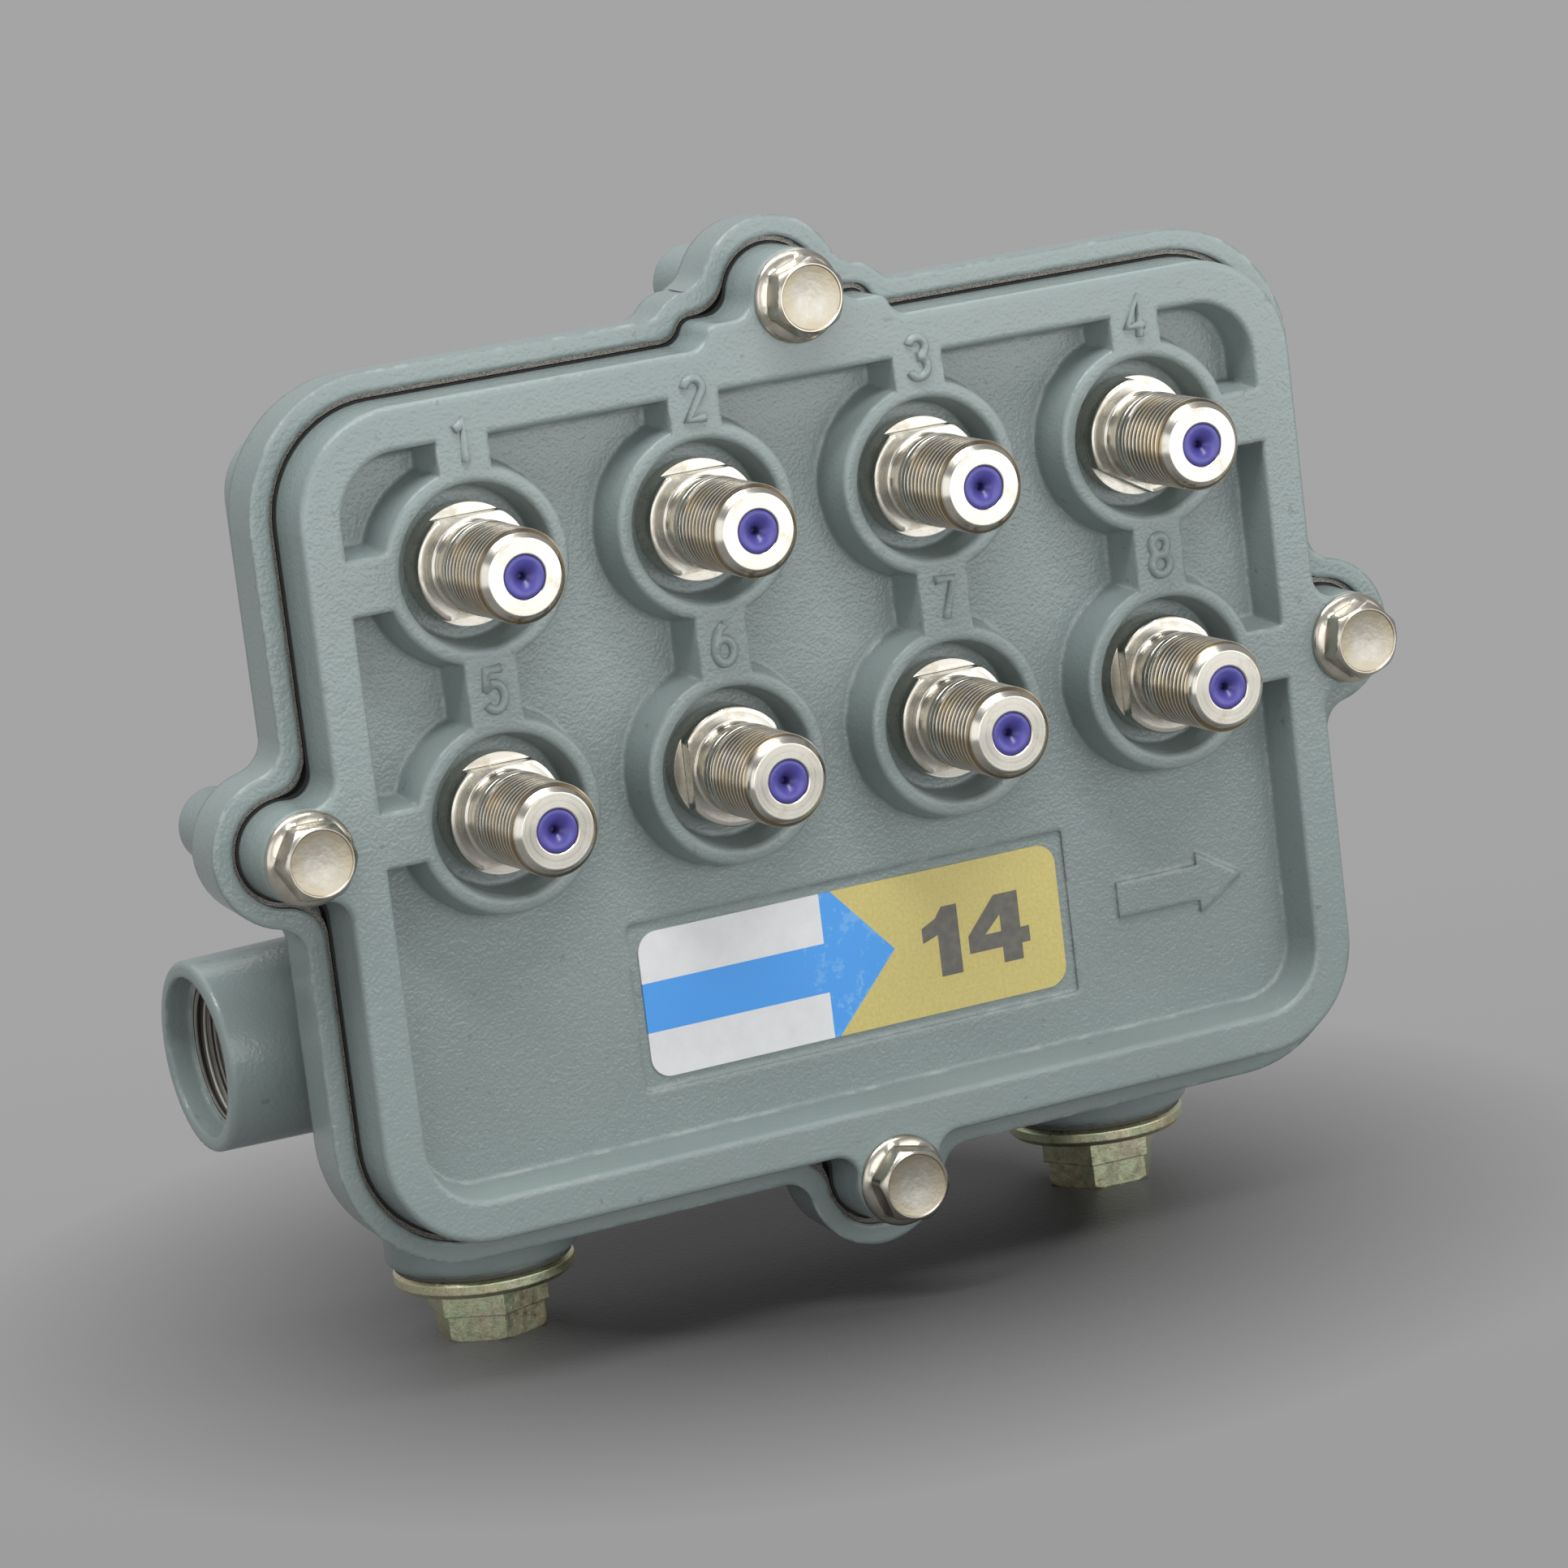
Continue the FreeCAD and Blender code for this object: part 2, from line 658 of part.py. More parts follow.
def make_cover():
    """Cast cover: sunk panel with rings and webs, ears, shield skirt and board posts."""
    body = new_body("cover")
    outline = front_sketch(body)
    add_eared_outline(outline, ZERO, size("ear_blend"), size("shoulder_blend"))
    pad(body, outline, size("cover_depth"), back=True, draft=size("cover_draft"))
    panel = front_sketch(body)
    add_rounded_box(panel, PANEL_HALF_WIDTH, PANEL_HALF_HEIGHT, size("panel_corner"))
    sunk = pocket(body, panel, size("panel_depth"), draft=-size("panel_draft"))
    doc.recompute()
    lip = edges_where(sunk, lambda p: near(p.y, 0) and inside_panel(p))
    dress(body, "Fillet", sunk, lip, size("cast_edge"))
    rings = front_sketch(body)
    for column, row in PORTS:
        add_circle(rings, column, row, size("ring_outer"))
    raised = pad(body, rings, size("panel_depth"), back=True, draft=size("ring_draft"))
    doc.recompute()
    crest = edges_where(raised, lambda p: near(p.y, 0) and near_port(p, size("ring_outer")))
    dress(body, "Fillet", raised, crest, size("cast_edge"))
    half_web = size("web_width") * 0.5
    uprights = front_sketch(body)
    for column in COLUMNS:
        add_polygon(uprights, box_corners(column - half_web, column + half_web, ROWS[1],
                                          PANEL_HALF_HEIGHT + half_web))
    pad(body, uprights, size("panel_depth"), back=True, draft=size("ring_draft"))
    crossbars = front_sketch(body)
    for row in ROWS:
        for sign, column in ((-1.0, COLUMNS[0]), (1.0, COLUMNS[-1])):
            outer = (PANEL_HALF_WIDTH + half_web) * sign
            left, right = (outer, column) if sign < 0 else (column, outer)
            add_polygon(crossbars, box_corners(left, right, row - half_web, row + half_web))
    pad(body, crossbars, size("panel_depth"), back=True, draft=size("ring_draft"))
    wells = front_sketch(body)
    for column, row in PORTS:
        add_circle(wells, column, row, RING_INNER)
    sunk = pocket(body, wells, size("ring_depth"), draft=-size("ring_draft"))
    doc.recompute()
    mouths = edges_where(sunk, lambda p: near(p.y, 0) and near_port(p, RING_INNER))
    dress(body, "Fillet", sunk, mouths, size("cast_edge"))
    label_seat = front_sketch(body, size("panel_depth"))
    add_rounded_box(label_seat, size("label_width") * 0.5 + size("label_margin"),
                    size("label_height") * 0.5 + size("label_margin"),
                    size("label_seat_corner"), -LABEL_DROP)
    pocket(body, label_seat, size("label_seat_depth"))
    arrow = front_sketch(body, size("panel_depth") - size("arrow_relief"))
    neck = ARROW_LEFT + size("arrow_shaft_length")
    middle = -LABEL_DROP
    shaft = size("arrow_shaft_height") * 0.5
    barb = size("arrow_head_height") * 0.5
    add_polygon(arrow, [(ARROW_LEFT, middle - shaft), (neck, middle - shaft),
                        (neck, middle - barb), (neck + size("arrow_head_length"), middle),
                        (neck, middle + barb), (neck, middle + shaft),
                        (ARROW_LEFT, middle + shaft)])
    pad(body, arrow, size("arrow_relief") * 2.0, back=True)
    skirt = front_sketch(body, size("cover_depth"))
    add_rounded_box(skirt, SKIRT_HALF_WIDTH, SKIRT_HALF_HEIGHT, SKIRT_CORNER)
    add_rounded_box(skirt, SKIRT_HALF_WIDTH - size("skirt_wall"),
                    SKIRT_HALF_HEIGHT - size("skirt_wall"), SKIRT_CORNER - size("skirt_wall"))
    pad(body, skirt, size("skirt_depth"), back=True)
    posts = front_sketch(body, size("cover_depth"))
    for x, z in POSTS:
        add_circle(posts, x, z, size("post_radius"))
    pad(body, posts, size("post_length"), back=True)
    screw_holes = front_sketch(body, BOARD_FRONT)
    for x, z in POSTS:
        add_circle(screw_holes, x, z, size("board_screw_radius") + size("board_screw_gap"))
    pocket(body, screw_holes, size("board_screw_length"), forward=True)
    stems = front_sketch(body)
    for column, row in PORTS:
        add_circle(stems, column, row, size("stem_radius") + size("stem_gap"))
    pocket(body, stems, size("cover_depth") * 2.0)
    bolt_holes = front_sketch(body)
    for x, z in EARS.values():
        add_circle(bolt_holes, x, z, size("bolt_radius") + size("bolt_clearance"))
    last = pocket(body, bolt_holes, size("cover_depth") * 2.0)
    doc.recompute()
    reach = SIZES["ear_radius"] + 0.1
    rim = edges_where(last, lambda p: near(p.y, 0) and on_outline(p, reach))
    dress(body, "Fillet", last, rim, size("cover_edge"))
    return place(body)


def inside_panel(point):
    """True for points on or within the panel's outline at the rim's front."""
    return (abs(point.x) < PANEL_HALF_WIDTH.number + 0.1
            and abs(point.z) < PANEL_HALF_HEIGHT.number + 0.1)


def inside_body(point):
    """True for points within the outline of the housing's hollow body."""
    return (abs(point.x) < BODY_HALF_WIDTH.number + 0.1
            and abs(point.z) < BODY_HALF_HEIGHT.number + 0.1)


def near_port(point, radius):
    """True for points at this radius about one of the port axes."""
    return any(near(math.hypot(point.x - column.number, point.z - row.number), radius.number)
               for column, row in PORTS)


def on_outline(point, reach):
    """True for points outside the cover's rim edge and away from the bolt holes."""
    hole = SIZES["bolt_radius"] + SIZES["bolt_clearance"] + 0.1
    in_hole = any(math.hypot(point.x - x.number, point.z - z.number) < hole
                  for x, z in EARS.values())
    half_width = COVER_HALF_WIDTH.number - SIZES["rim_width"] / 2
    half_height = COVER_HALF_HEIGHT.number - SIZES["rim_width"] / 2
    corner = SIZES["cover_corner"]
    beyond_x = max(abs(point.x) - (half_width - corner), 0)
    beyond_z = max(abs(point.z) - (half_height - corner), 0)
    return not in_hole and math.hypot(beyond_x, beyond_z) > corner


def make_gasket(label, outer, inner, blend):
    """Flat ring that follows the cover's outline under its edge."""
    body = new_body(label)
    ring = front_sketch(body, size("cover_depth"))
    add_eared_outline(ring, outer, blend, size("shoulder_blend"))
    add_eared_outline(ring, inner, blend, size("shoulder_blend"))
    pad(body, ring, size("gasket_thickness"), back=True)
    return place(body)


def make_housing():
    """Cast housing: lipped flange, hollow body, entry ports, bolt bosses and strand pad."""
    body = new_body("housing")
    flange = front_sketch(body, size("flange_front"))
    add_eared_outline(flange, size("lip_gap") + size("lip_width"), size("flange_blend"),
                      size("shoulder_blend"))
    pad(body, flange, size("flange_thickness"), back=True, draft=-size("flange_draft"))
    shell = front_sketch(body, SHELF)
    add_rounded_box(shell, BODY_HALF_WIDTH, BODY_HALF_HEIGHT, size("body_corner"))
    outer = pad(body, shell, size("body_depth") - SHELF, back=True, draft=-size("body_draft"))
    doc.recompute()
    back_edges = edges_where(outer, lambda p: near(p.y, SIZES["body_depth"]))
    rounded = dress(body, "Fillet", outer, back_edges, size("body_edge"))
    doc.recompute()
    root = edges_where(rounded, lambda p: near(p.y, FLANGE_BACK.number) and inside_body(p))
    dress(body, "Fillet", rounded, root, size("body_root"))
    bosses = front_sketch(body, size("flange_front") + size("lip_width"))
    for x, z in EARS.values():
        add_circle(bosses, x, z, size("boss_radius"))
    boss_length = BOSS_END - size("flange_front") - size("lip_width")
    blind = pad(body, bosses, boss_length, back=True)
    doc.recompute()
    ends = edges_where(blind, lambda p: near(p.y, BOSS_END.number))
    dress(body, "Fillet", blind, ends, size("boss_edge"))
    half_web = size("boss_web") * 0.5
    webs = front_sketch(body, size("flange_front") + size("lip_width"))
    inside = CAVITY_HALF_HEIGHT + size("body_wall") * 0.5
    across = CAVITY_HALF_WIDTH + size("body_wall") * 0.5
    add_polygon(webs, box_corners(-half_web, half_web, inside, EAR_Z))
    add_polygon(webs, box_corners(-half_web, half_web, -EAR_Z, -inside))
    add_polygon(webs, box_corners(-EAR_X, -across, -half_web, half_web))
    add_polygon(webs, box_corners(across, EAR_X, -half_web, half_web))
    pad(body, webs, boss_length - half_web, back=True)
    for sign in SIDES.values():
        tube = new_sketch(body, "YZ_Plane", ENTRY_REACH * sign)
        add_circle(tube, ENTRY_DEPTH, ENTRY_HEIGHT, size("entry_radius"))
        tube_length = ENTRY_REACH - CAVITY_HALF_WIDTH - size("body_wall") * 0.5
        barrel = pad(body, tube, tube_length, back=sign > 0, draft=size("entry_draft"))
    doc.recompute()
    rims = edges_where(barrel, lambda p: near(abs(p.x), ENTRY_REACH.number))
    dress(body, "Fillet", barrel, rims, size("entry_edge"))
    drops = new_sketch(body, "XY_Plane", -DROP_BOSS_END)
    for sign in SIDES.values():
        add_circle(drops, DROP_OFFSET * sign, ENTRY_DEPTH, size("drop_boss_radius"))
    drop_length = DROP_BOSS_END - CAVITY_HALF_HEIGHT - size("body_wall") * 0.5
    drop_pad = pad(body, drops, drop_length)
    doc.recompute()
    low = edges_where(drop_pad, lambda p: near(p.z, -DROP_BOSS_END.number))
    dress(body, "Fillet", drop_pad, low, size("drop_boss_edge"))
    spigots = new_sketch(body, "XY_Plane", -DROP_SPIGOT_END)
    for sign in SIDES.values():
        add_circle(spigots, DROP_OFFSET * sign, ENTRY_DEPTH,
                   size("drop_spigot_radius") - size("drop_boss_edge") * 0.5)
    pad(body, spigots, DROP_SPIGOT_END - CAVITY_HALF_HEIGHT - size("body_wall") * 0.5)
    strand_pad = front_sketch(body, CAVITY_BACK + size("body_wall") * 0.5)
    add_polygon(strand_pad, box_corners(-size("pad_half_width"), size("pad_half_width"),
                                        PAD_BOTTOM, PAD_TOP))
    block = pad(body, strand_pad, PAD_BACK - CAVITY_BACK - size("body_wall") * 0.5, back=True)
    doc.recompute()
    brim = edges_where(block, lambda p: near(p.y, PAD_BACK.number))
    dress(body, "Chamfer", block, brim, size("pad_edge"))
    cavity = front_sketch(body, size("flange_front"))
    add_rounded_box(cavity, CAVITY_HALF_WIDTH, CAVITY_HALF_HEIGHT, CAVITY_CORNER)
    pocket(body, cavity, CAVITY_BACK - size("flange_front"), draft=-size("body_draft"))
    step = front_sketch(body, size("flange_front"))
    add_eared_outline(step, size("lip_gap"), size("lip_blend"), size("shoulder_blend"))
    pocket(body, step, SHELF - size("flange_front"))
    threads = front_sketch(body, SHELF)
    for x, z in EARS.values():
        add_circle(threads, x, z, size("bolt_radius") + size("bolt_thread_gap"))
    pocket(body, threads, BOLT_END - SHELF + size("bolt_radius"))
    for sign in SIDES.values():
        mouth = new_sketch(body, "YZ_Plane", ENTRY_REACH * sign)
        add_circle(mouth, ENTRY_DEPTH, ENTRY_HEIGHT, size("entry_mouth_radius"))
        pocket(body, mouth, size("entry_mouth_depth"), forward=sign < 0)
        thread = new_sketch(body, "YZ_Plane", ENTRY_REACH * sign)
        add_circle(thread, ENTRY_DEPTH, ENTRY_HEIGHT, size("entry_thread_radius"))
        pocket(body, thread, size("entry_mouth_depth") + size("entry_thread_length"),
               forward=sign < 0)
        bore = new_sketch(body, "YZ_Plane", ENTRY_REACH * sign)
        add_circle(bore, ENTRY_DEPTH, ENTRY_HEIGHT, size("entry_bore"))
        pocket(body, bore, ENTRY_REACH - CAVITY_HALF_WIDTH + size("body_wall"), forward=sign < 0)
    bore_length = DROP_SPIGOT_END - CAVITY_HALF_HEIGHT + size("body_wall")
    for radius, length in ((size("entry_thread_radius"), size("entry_thread_length")),
                           (size("entry_bore"), bore_length)):
        drop_bores = new_sketch(body, "XY_Plane", -DROP_SPIGOT_END)
        for sign in SIDES.values():
            add_circle(drop_bores, DROP_OFFSET * sign, ENTRY_DEPTH, radius)
        pocket(body, drop_bores, length, forward=True)
    groove = new_sketch(body, "YZ_Plane", -size("pad_half_width"))
    add_circle(groove, STRAND_DEPTH, STRAND_HEIGHT, size("strand_radius"))
    pocket(body, groove, size("pad_half_width") * 2.0, forward=True)
    tapped = front_sketch(body, PAD_BACK)
    add_circle(tapped, ZERO, CLAMP_BOLT_HEIGHT,
               size("clamp_bolt_radius") + size("clamp_thread_gap"))
    pocket(body, tapped, size("clamp_thread_depth"), forward=True)
    return place(body)


def make_port(number, x, z, turn):
    """F port: chamfered tip, thread, neck and a flatted base staked into the cover."""
    tip = -size("tip_height")
    base_front = size("ring_depth") - size("base_height")
    stake_front = size("cover_depth")
    stake_back = stake_front + size("stake_height")
    body = turned_piece(f"f_connector_{number}", [
        (size("port_mouth_radius"), tip),
        (size("tip_radius"), tip),
        (size("thread_radius"), tip + size("tip_chamfer")),
        (size("thread_radius"), -size("thread_foot")),
        (size("neck_radius"), -size("thread_foot")),
        (size("neck_radius"), base_front - size("base_edge")),
        (size("neck_radius") + size("base_edge") * 0.5, base_front),
        (size("base_radius") - size("base_edge"), base_front),
        (size("base_radius"), base_front + size("base_edge")),
        (size("base_radius"), size("ring_depth")),
        (size("stem_radius"), size("ring_depth")),
        (size("stem_radius"), stake_front),
        (size("stake_radius"), stake_front),
        (size("stake_radius"), stake_back),
        (size("port_bore_radius"), stake_back),
        (size("port_bore_radius"), tip + size("port_mouth_depth")),
        (size("port_mouth_radius"), tip + size("port_mouth_depth"))])
    flats = front_sketch(body, base_front)
    radius = size("base_radius")
    add_polygon(flats, box_corners(-radius, radius, size("base_flat"), radius))
    add_polygon(flats, box_corners(-radius, radius, -radius, -size("base_flat")))
    pocket(body, flats, size("base_flat_depth"))
    return place(body, x, ZERO, z, turn=turn)


def make_insulator(number, x, z):
    """Plastic insert of an F port, with a funnel that leads the centre wire in."""
    gap = size("insulator_gap")
    front = size("insulator_set_back") - size("tip_height")
    step = size("port_mouth_depth") - size("tip_height") + gap
    back = size("cover_depth") + size("stake_height")
    channel = size("contact_radius") + gap
    throat = size("contact_front") - size("tip_height") - gap
    body = turned_piece(f"f_insulator_{number}", [
        (size("wire_funnel_radius"), front),
        (size("port_mouth_radius") - gap, front),
        (size("port_mouth_radius") - gap, step),
        (size("port_bore_radius") - gap, step),
        (size("port_bore_radius") - gap, back),
        (channel, back),
        (channel, throat),
        (size("wire_hole_radius"), throat),
        (size("wire_hole_radius"), front + size("wire_funnel_depth"))])
    return place(body, x, ZERO, z)


def make_contact(number, x, z):
    """Tube contact of an F port, with a tail through the board."""
    front = size("contact_front") - size("tip_height")
    bottom = BOARD_FRONT
    tail_end = BOARD_BACK + size("contact_tail_length")
    floor = size("cover_depth")
    body = turned_piece(f"f_contact_{number}", [
        (size("contact_bore"), front),
        (size("contact_radius"), front),
        (size("contact_radius"), bottom),
        (size("contact_tail_radius"), bottom),
        (size("contact_tail_radius"), tail_end),
        (ZERO, tail_end),
        (ZERO, floor),
        (size("contact_bore"), floor)])
    return place(body, x, ZERO, z)


def make_cover_bolt(name, x, z, turn):
    """Flanged hex bolt with a dished head."""
    flange_front = -size("bolt_flange")
    top = -size("bolt_head")
    body = turned_piece(f"cover_bolt_{name}", [
        (ZERO, flange_front),
        (size("bolt_flange_radius") - size("bolt_flange") * 0.3, flange_front),
        (size("bolt_flange_radius"), flange_front * 0.4),
        (size("bolt_flange_radius"), ZERO),
        (size("bolt_radius"), ZERO),
        (size("bolt_radius"), BOLT_END),
        (ZERO, BOLT_END)])
    hex_prism(body, size("bolt_hex"), "XZ_Plane", ZERO, size("bolt_head"), turn)
    crown = new_sketch(body, "XY_Plane")
    corner = size("bolt_hex") * HEX_CORNER
    cut = size("bolt_corner_cut")
    add_polygon(crown, [(corner - cut * 2.0, top), (corner + cut, top + cut * 1.5),
                        (corner + cut, top)])
    turn_round(body, "Groove", crown)
    dish = new_sketch(body, "XY_Plane")
    add_polygon(dish, [(ZERO, top), (size("bolt_dish_radius"), top),
                       (size("bolt_dish_radius") - size("bolt_dish_depth"),
                        top + size("bolt_dish_depth")),
                       (ZERO, top + size("bolt_dish_depth"))])
    turn_round(body, "Groove", dish)
    return place(body, x, ZERO, z)


def make_plug(name, sign, turn):
    """Port plug: hollow threaded shank, flange and two hexagons."""
    seat = -DROP_SPIGOT_END - size("seal_thickness")
    flange_end = seat - size("plug_flange")
    edge = size("plug_flange_edge")
    shank = size("entry_thread_radius") - size("plug_thread_gap")
    shank_top = size("plug_thread_length") - DROP_SPIGOT_END
    body = turned_piece(f"port_plug_{name}", [
        (ZERO, flange_end),
        (size("plug_flange_radius") - edge, flange_end),
        (size("plug_flange_radius"), flange_end + edge),
        (size("plug_flange_radius"), seat - edge),
        (size("plug_flange_radius") - edge, seat),
        (shank, seat),
        (shank, shank_top),
        (size("plug_bore"), shank_top),
        (size("plug_bore"), seat),
        (ZERO, seat)], role="XZ_Plane")
    upper_end = flange_end - size("plug_upper_height")
    lower_end = upper_end - size("plug_lower_height")
    hex_prism(body, size("plug_upper_hex"), "XY_Plane", upper_end,
              size("plug_upper_height") + edge, turn)
    hex_prism(body, size("plug_lower_hex"), "XY_Plane", lower_end,
              size("plug_lower_height") + edge, turn)
    crown = new_sketch(body, "XZ_Plane")
    corner = size("plug_lower_hex") * HEX_CORNER
    add_polygon(crown, [(corner - edge, lower_end), (corner + edge, lower_end + edge * 1.2),
                        (corner + edge, lower_end)])
    turn_round(body, "Groove", crown)
    return place(body, DROP_OFFSET * sign, ENTRY_DEPTH, ZERO)


def make_seal(name, sign):
    """Flat seal between a bottom port and its plug."""
    top = -DROP_SPIGOT_END
    low = top - size("seal_thickness")
    body = turned_piece(f"port_seal_{name}", [
        (size("seal_inner"), low), (size("seal_outer"), low), (size("seal_outer"), top),
        (size("seal_inner"), top)], role="XZ_Plane")
    return place(body, DROP_OFFSET * sign, ENTRY_DEPTH, ZERO)


def make_label():
    """Printed sticker that lies in the cover's recess."""
    body = new_body("label")
    sheet_outline = front_sketch(body, size("panel_depth") + size("label_seat_depth")
                                 - size("label_thickness"))
    add_rounded_box(sheet_outline, size("label_width") * 0.5, size("label_height") * 0.5,
                    size("label_corner"), -LABEL_DROP)
    pad(body, sheet_outline, size("label_thickness"), back=True)
    return place(body)


def make_board():
    """Splitter board on the cover's posts, with holes for contacts, screws and feed pins."""
    body = new_body("circuit_board")
    plate = front_sketch(body, BOARD_FRONT)
    inset = size("skirt_wall") + size("board_gap")
    add_rounded_box(plate, SKIRT_HALF_WIDTH - inset, SKIRT_HALF_HEIGHT - inset,
                    size("board_corner"))
    pad(body, plate, size("board_thickness"), back=True)
    holes = front_sketch(body, BOARD_FRONT)
    for column, row in PORTS:
        add_circle(holes, column, row, size("contact_tail_radius") + size("board_hole_gap"))
    for x, z in POSTS:
        add_circle(holes, x, z, size("board_screw_radius") + size("board_hole_gap"))
    for sign in SIDES.values():
        add_circle(holes, DROP_OFFSET * sign, ENTRY_HEIGHT + size("pin_offset"),
                   size("pin_radius"))
    pocket(body, holes, size("board_thickness") * 2.0)
    return place(body)


def make_board_screws():
    """Four pan head screws, one group of separate solids."""
    screws = []
    offset = Vector(0, -STRAND_DEPTH.number, -STRAND_HEIGHT.number)
    back = BOARD_BACK.number
    along = Vector(0, 1, 0)
    shank_length = SIZES["board_screw_length"] - SIZES["board_screw_gap"] + SIZES["board_thickness"]
    for x, z in POSTS:
        point = Vector(x.number, back, z.number) + offset
        head = Part.makeCylinder(SIZES["board_screw_head"], SIZES["board_screw_head_height"],
                                 point, along)
        shank = Part.makeCylinder(SIZES["board_screw_radius"], shank_length, point, along * -1)
        screws.append(head.fuse(shank).removeSplitter())
    group = doc.addObject("Part::Feature", "board_screws")
    group.Label = "board_screws"
    group.Shape = Part.makeCompound(screws)
    return group


def make_core(number, x, z):
    """Ferrite core of a splitter, behind the board and half a pitch below its port."""
    body = turned_piece(f"ferrite_core_{number}", [
        (size("core_inner"), ZERO), (size("core_outer"), ZERO),
        (size("core_outer"), size("core_height")), (size("core_inner"), size("core_height"))])
    return place(body, x, BOARD_BACK, z - size("port_pitch") * 0.5)


def make_board_pin(name, sign):
    """Feed pin from the board to the through line's post."""
    end = BLOCK_FRONT + size("pin_seat") - size("pin_gap")
    body = turned_piece(f"board_pin_{name}", [
        (ZERO, BOARD_FRONT), (size("pin_radius"), BOARD_FRONT), (size("pin_radius"), end),
        (ZERO, end)])
    return place(body, DROP_OFFSET * sign, ZERO, ENTRY_HEIGHT + size("pin_offset"))


def make_seizure_block(name, sign):
    """Insulating block on the housing floor, round the post."""
    body = new_body(f"seizure_block_{name}")
    half = size("block_half_size")
    length = CAVITY_BACK - BLOCK_FRONT
    square = front_sketch(body)
    add_polygon(square, box_corners(-half, half, -half, half))
    pad(body, square, length, back=True)
    well = front_sketch(body)
    add_circle(well, ZERO, ZERO, size("terminal_radius"))
    pocket(body, well, size("terminal_length"))
    axis_depth = ENTRY_DEPTH - BLOCK_FRONT
    side_hole = new_sketch(body, "YZ_Plane")
    add_circle(side_hole, axis_depth, ZERO, size("wire_entry_radius"))
    pocket(body, side_hole, half * 2.0, forward=sign > 0)
    low_hole = new_sketch(body, "XY_Plane")
    add_circle(low_hole, ZERO, axis_depth, size("wire_entry_radius"))
    pocket(body, low_hole, half * 2.0)
    return place(body, DROP_OFFSET * sign, BLOCK_FRONT, ENTRY_HEIGHT)


def make_terminal(name, sign):
    """Brass post with cross holes for the cable's wire and a socket for the feed pin."""
    body = new_body(f"seizure_terminal_{name}")
    post = front_sketch(body)
    add_circle(post, ZERO, ZERO, size("terminal_radius"))
    pad(body, post, size("terminal_length"), back=True)
    axis_depth = ENTRY_DEPTH - BLOCK_FRONT
    side_hole = new_sketch(body, "YZ_Plane")
    add_circle(side_hole, axis_depth, ZERO, size("wire_entry_radius"))
    pocket(body, side_hole, size("terminal_radius") * 2.0, forward=sign > 0)
    low_hole = new_sketch(body, "XY_Plane")
    add_circle(low_hole, ZERO, axis_depth, size("wire_entry_radius"))
    pocket(body, low_hole, size("terminal_radius") * 2.0)
    tapped = front_sketch(body)
    add_circle(tapped, ZERO, ZERO, size("seizure_screw_radius") + size("seizure_screw_gap"))
    pocket(body, tapped, axis_depth)
    socket = front_sketch(body)
    add_circle(socket, ZERO, size("pin_offset"), size("pin_radius") + size("pin_gap"))
    pocket(body, socket, size("pin_seat"))
    return place(body, DROP_OFFSET * sign, BLOCK_FRONT, ENTRY_HEIGHT)


def make_seizure_screw(name, sign):
    """Screw that clamps the wire in its post, slotted for a screwdriver."""
    head = size("seizure_head_height")
    tip = ENTRY_DEPTH - BLOCK_FRONT - size("wire_entry_radius")
    body = turned_piece(f"seizure_screw_{name}", [
        (ZERO, -head), (size("seizure_head_radius") * 0.9, -head),
        (size("seizure_head_radius"), ZERO), (size("seizure_screw_radius"), ZERO),
        (size("seizure_screw_radius"), tip), (ZERO, tip)])
    slot = front_sketch(body, -head)
    reach = size("seizure_head_radius")
    add_polygon(slot, box_corners(-reach, reach, -head * 0.2, head * 0.2))
    pocket(body, slot, head * 0.5)
    return place(body, DROP_OFFSET * sign, BLOCK_FRONT, ENTRY_HEIGHT)


def make_jaw():
    """Clamp jaw: plate with a groove for the strand and a heel that bears on the pad."""
    body = new_body("clamp_jaw")
    side = new_sketch(body, "YZ_Plane", -size("pad_half_width"))
    heel_top = JAW_BOTTOM + size("heel_height")
    add_polygon(side, [(PAD_BACK, JAW_BOTTOM), (JAW_BACK, JAW_BOTTOM),
                       (JAW_BACK, PAD_TOP), (JAW_FRONT, PAD_TOP), (JAW_FRONT, heel_top),
                       (PAD_BACK, heel_top)])
    plate = pad(body, side, size("pad_half_width") * 2.0)
    doc.recompute()
    back = edges_where(plate, lambda p: near(p.y, JAW_BACK.number))
    dress(body, "Fillet", plate, back, size("jaw_edge"))
    groove = new_sketch(body, "YZ_Plane", -size("pad_half_width"))
    add_circle(groove, STRAND_DEPTH, STRAND_HEIGHT, size("strand_radius"))
    pocket(body, groove, size("pad_half_width") * 2.0, forward=True)
    hole = front_sketch(body, PAD_BACK)
    add_circle(hole, ZERO, CLAMP_BOLT_HEIGHT,
               size("clamp_bolt_radius") + size("clamp_hole_gap"))
    pocket(body, hole, size("jaw_thickness") * 2.0)
    return place(body)


def make_clamp_washer():
    """Washer between the bolt head and the jaw."""
    inner = size("clamp_bolt_radius") + size("clamp_hole_gap")
    thickness = size("clamp_washer_thickness")
    body = turned_piece("clamp_washer", [
        (inner, ZERO), (size("clamp_washer_radius"), ZERO),
        (size("clamp_washer_radius"), thickness), (inner, thickness)])
    return place(body, ZERO, JAW_BACK, CLAMP_BOLT_HEIGHT)


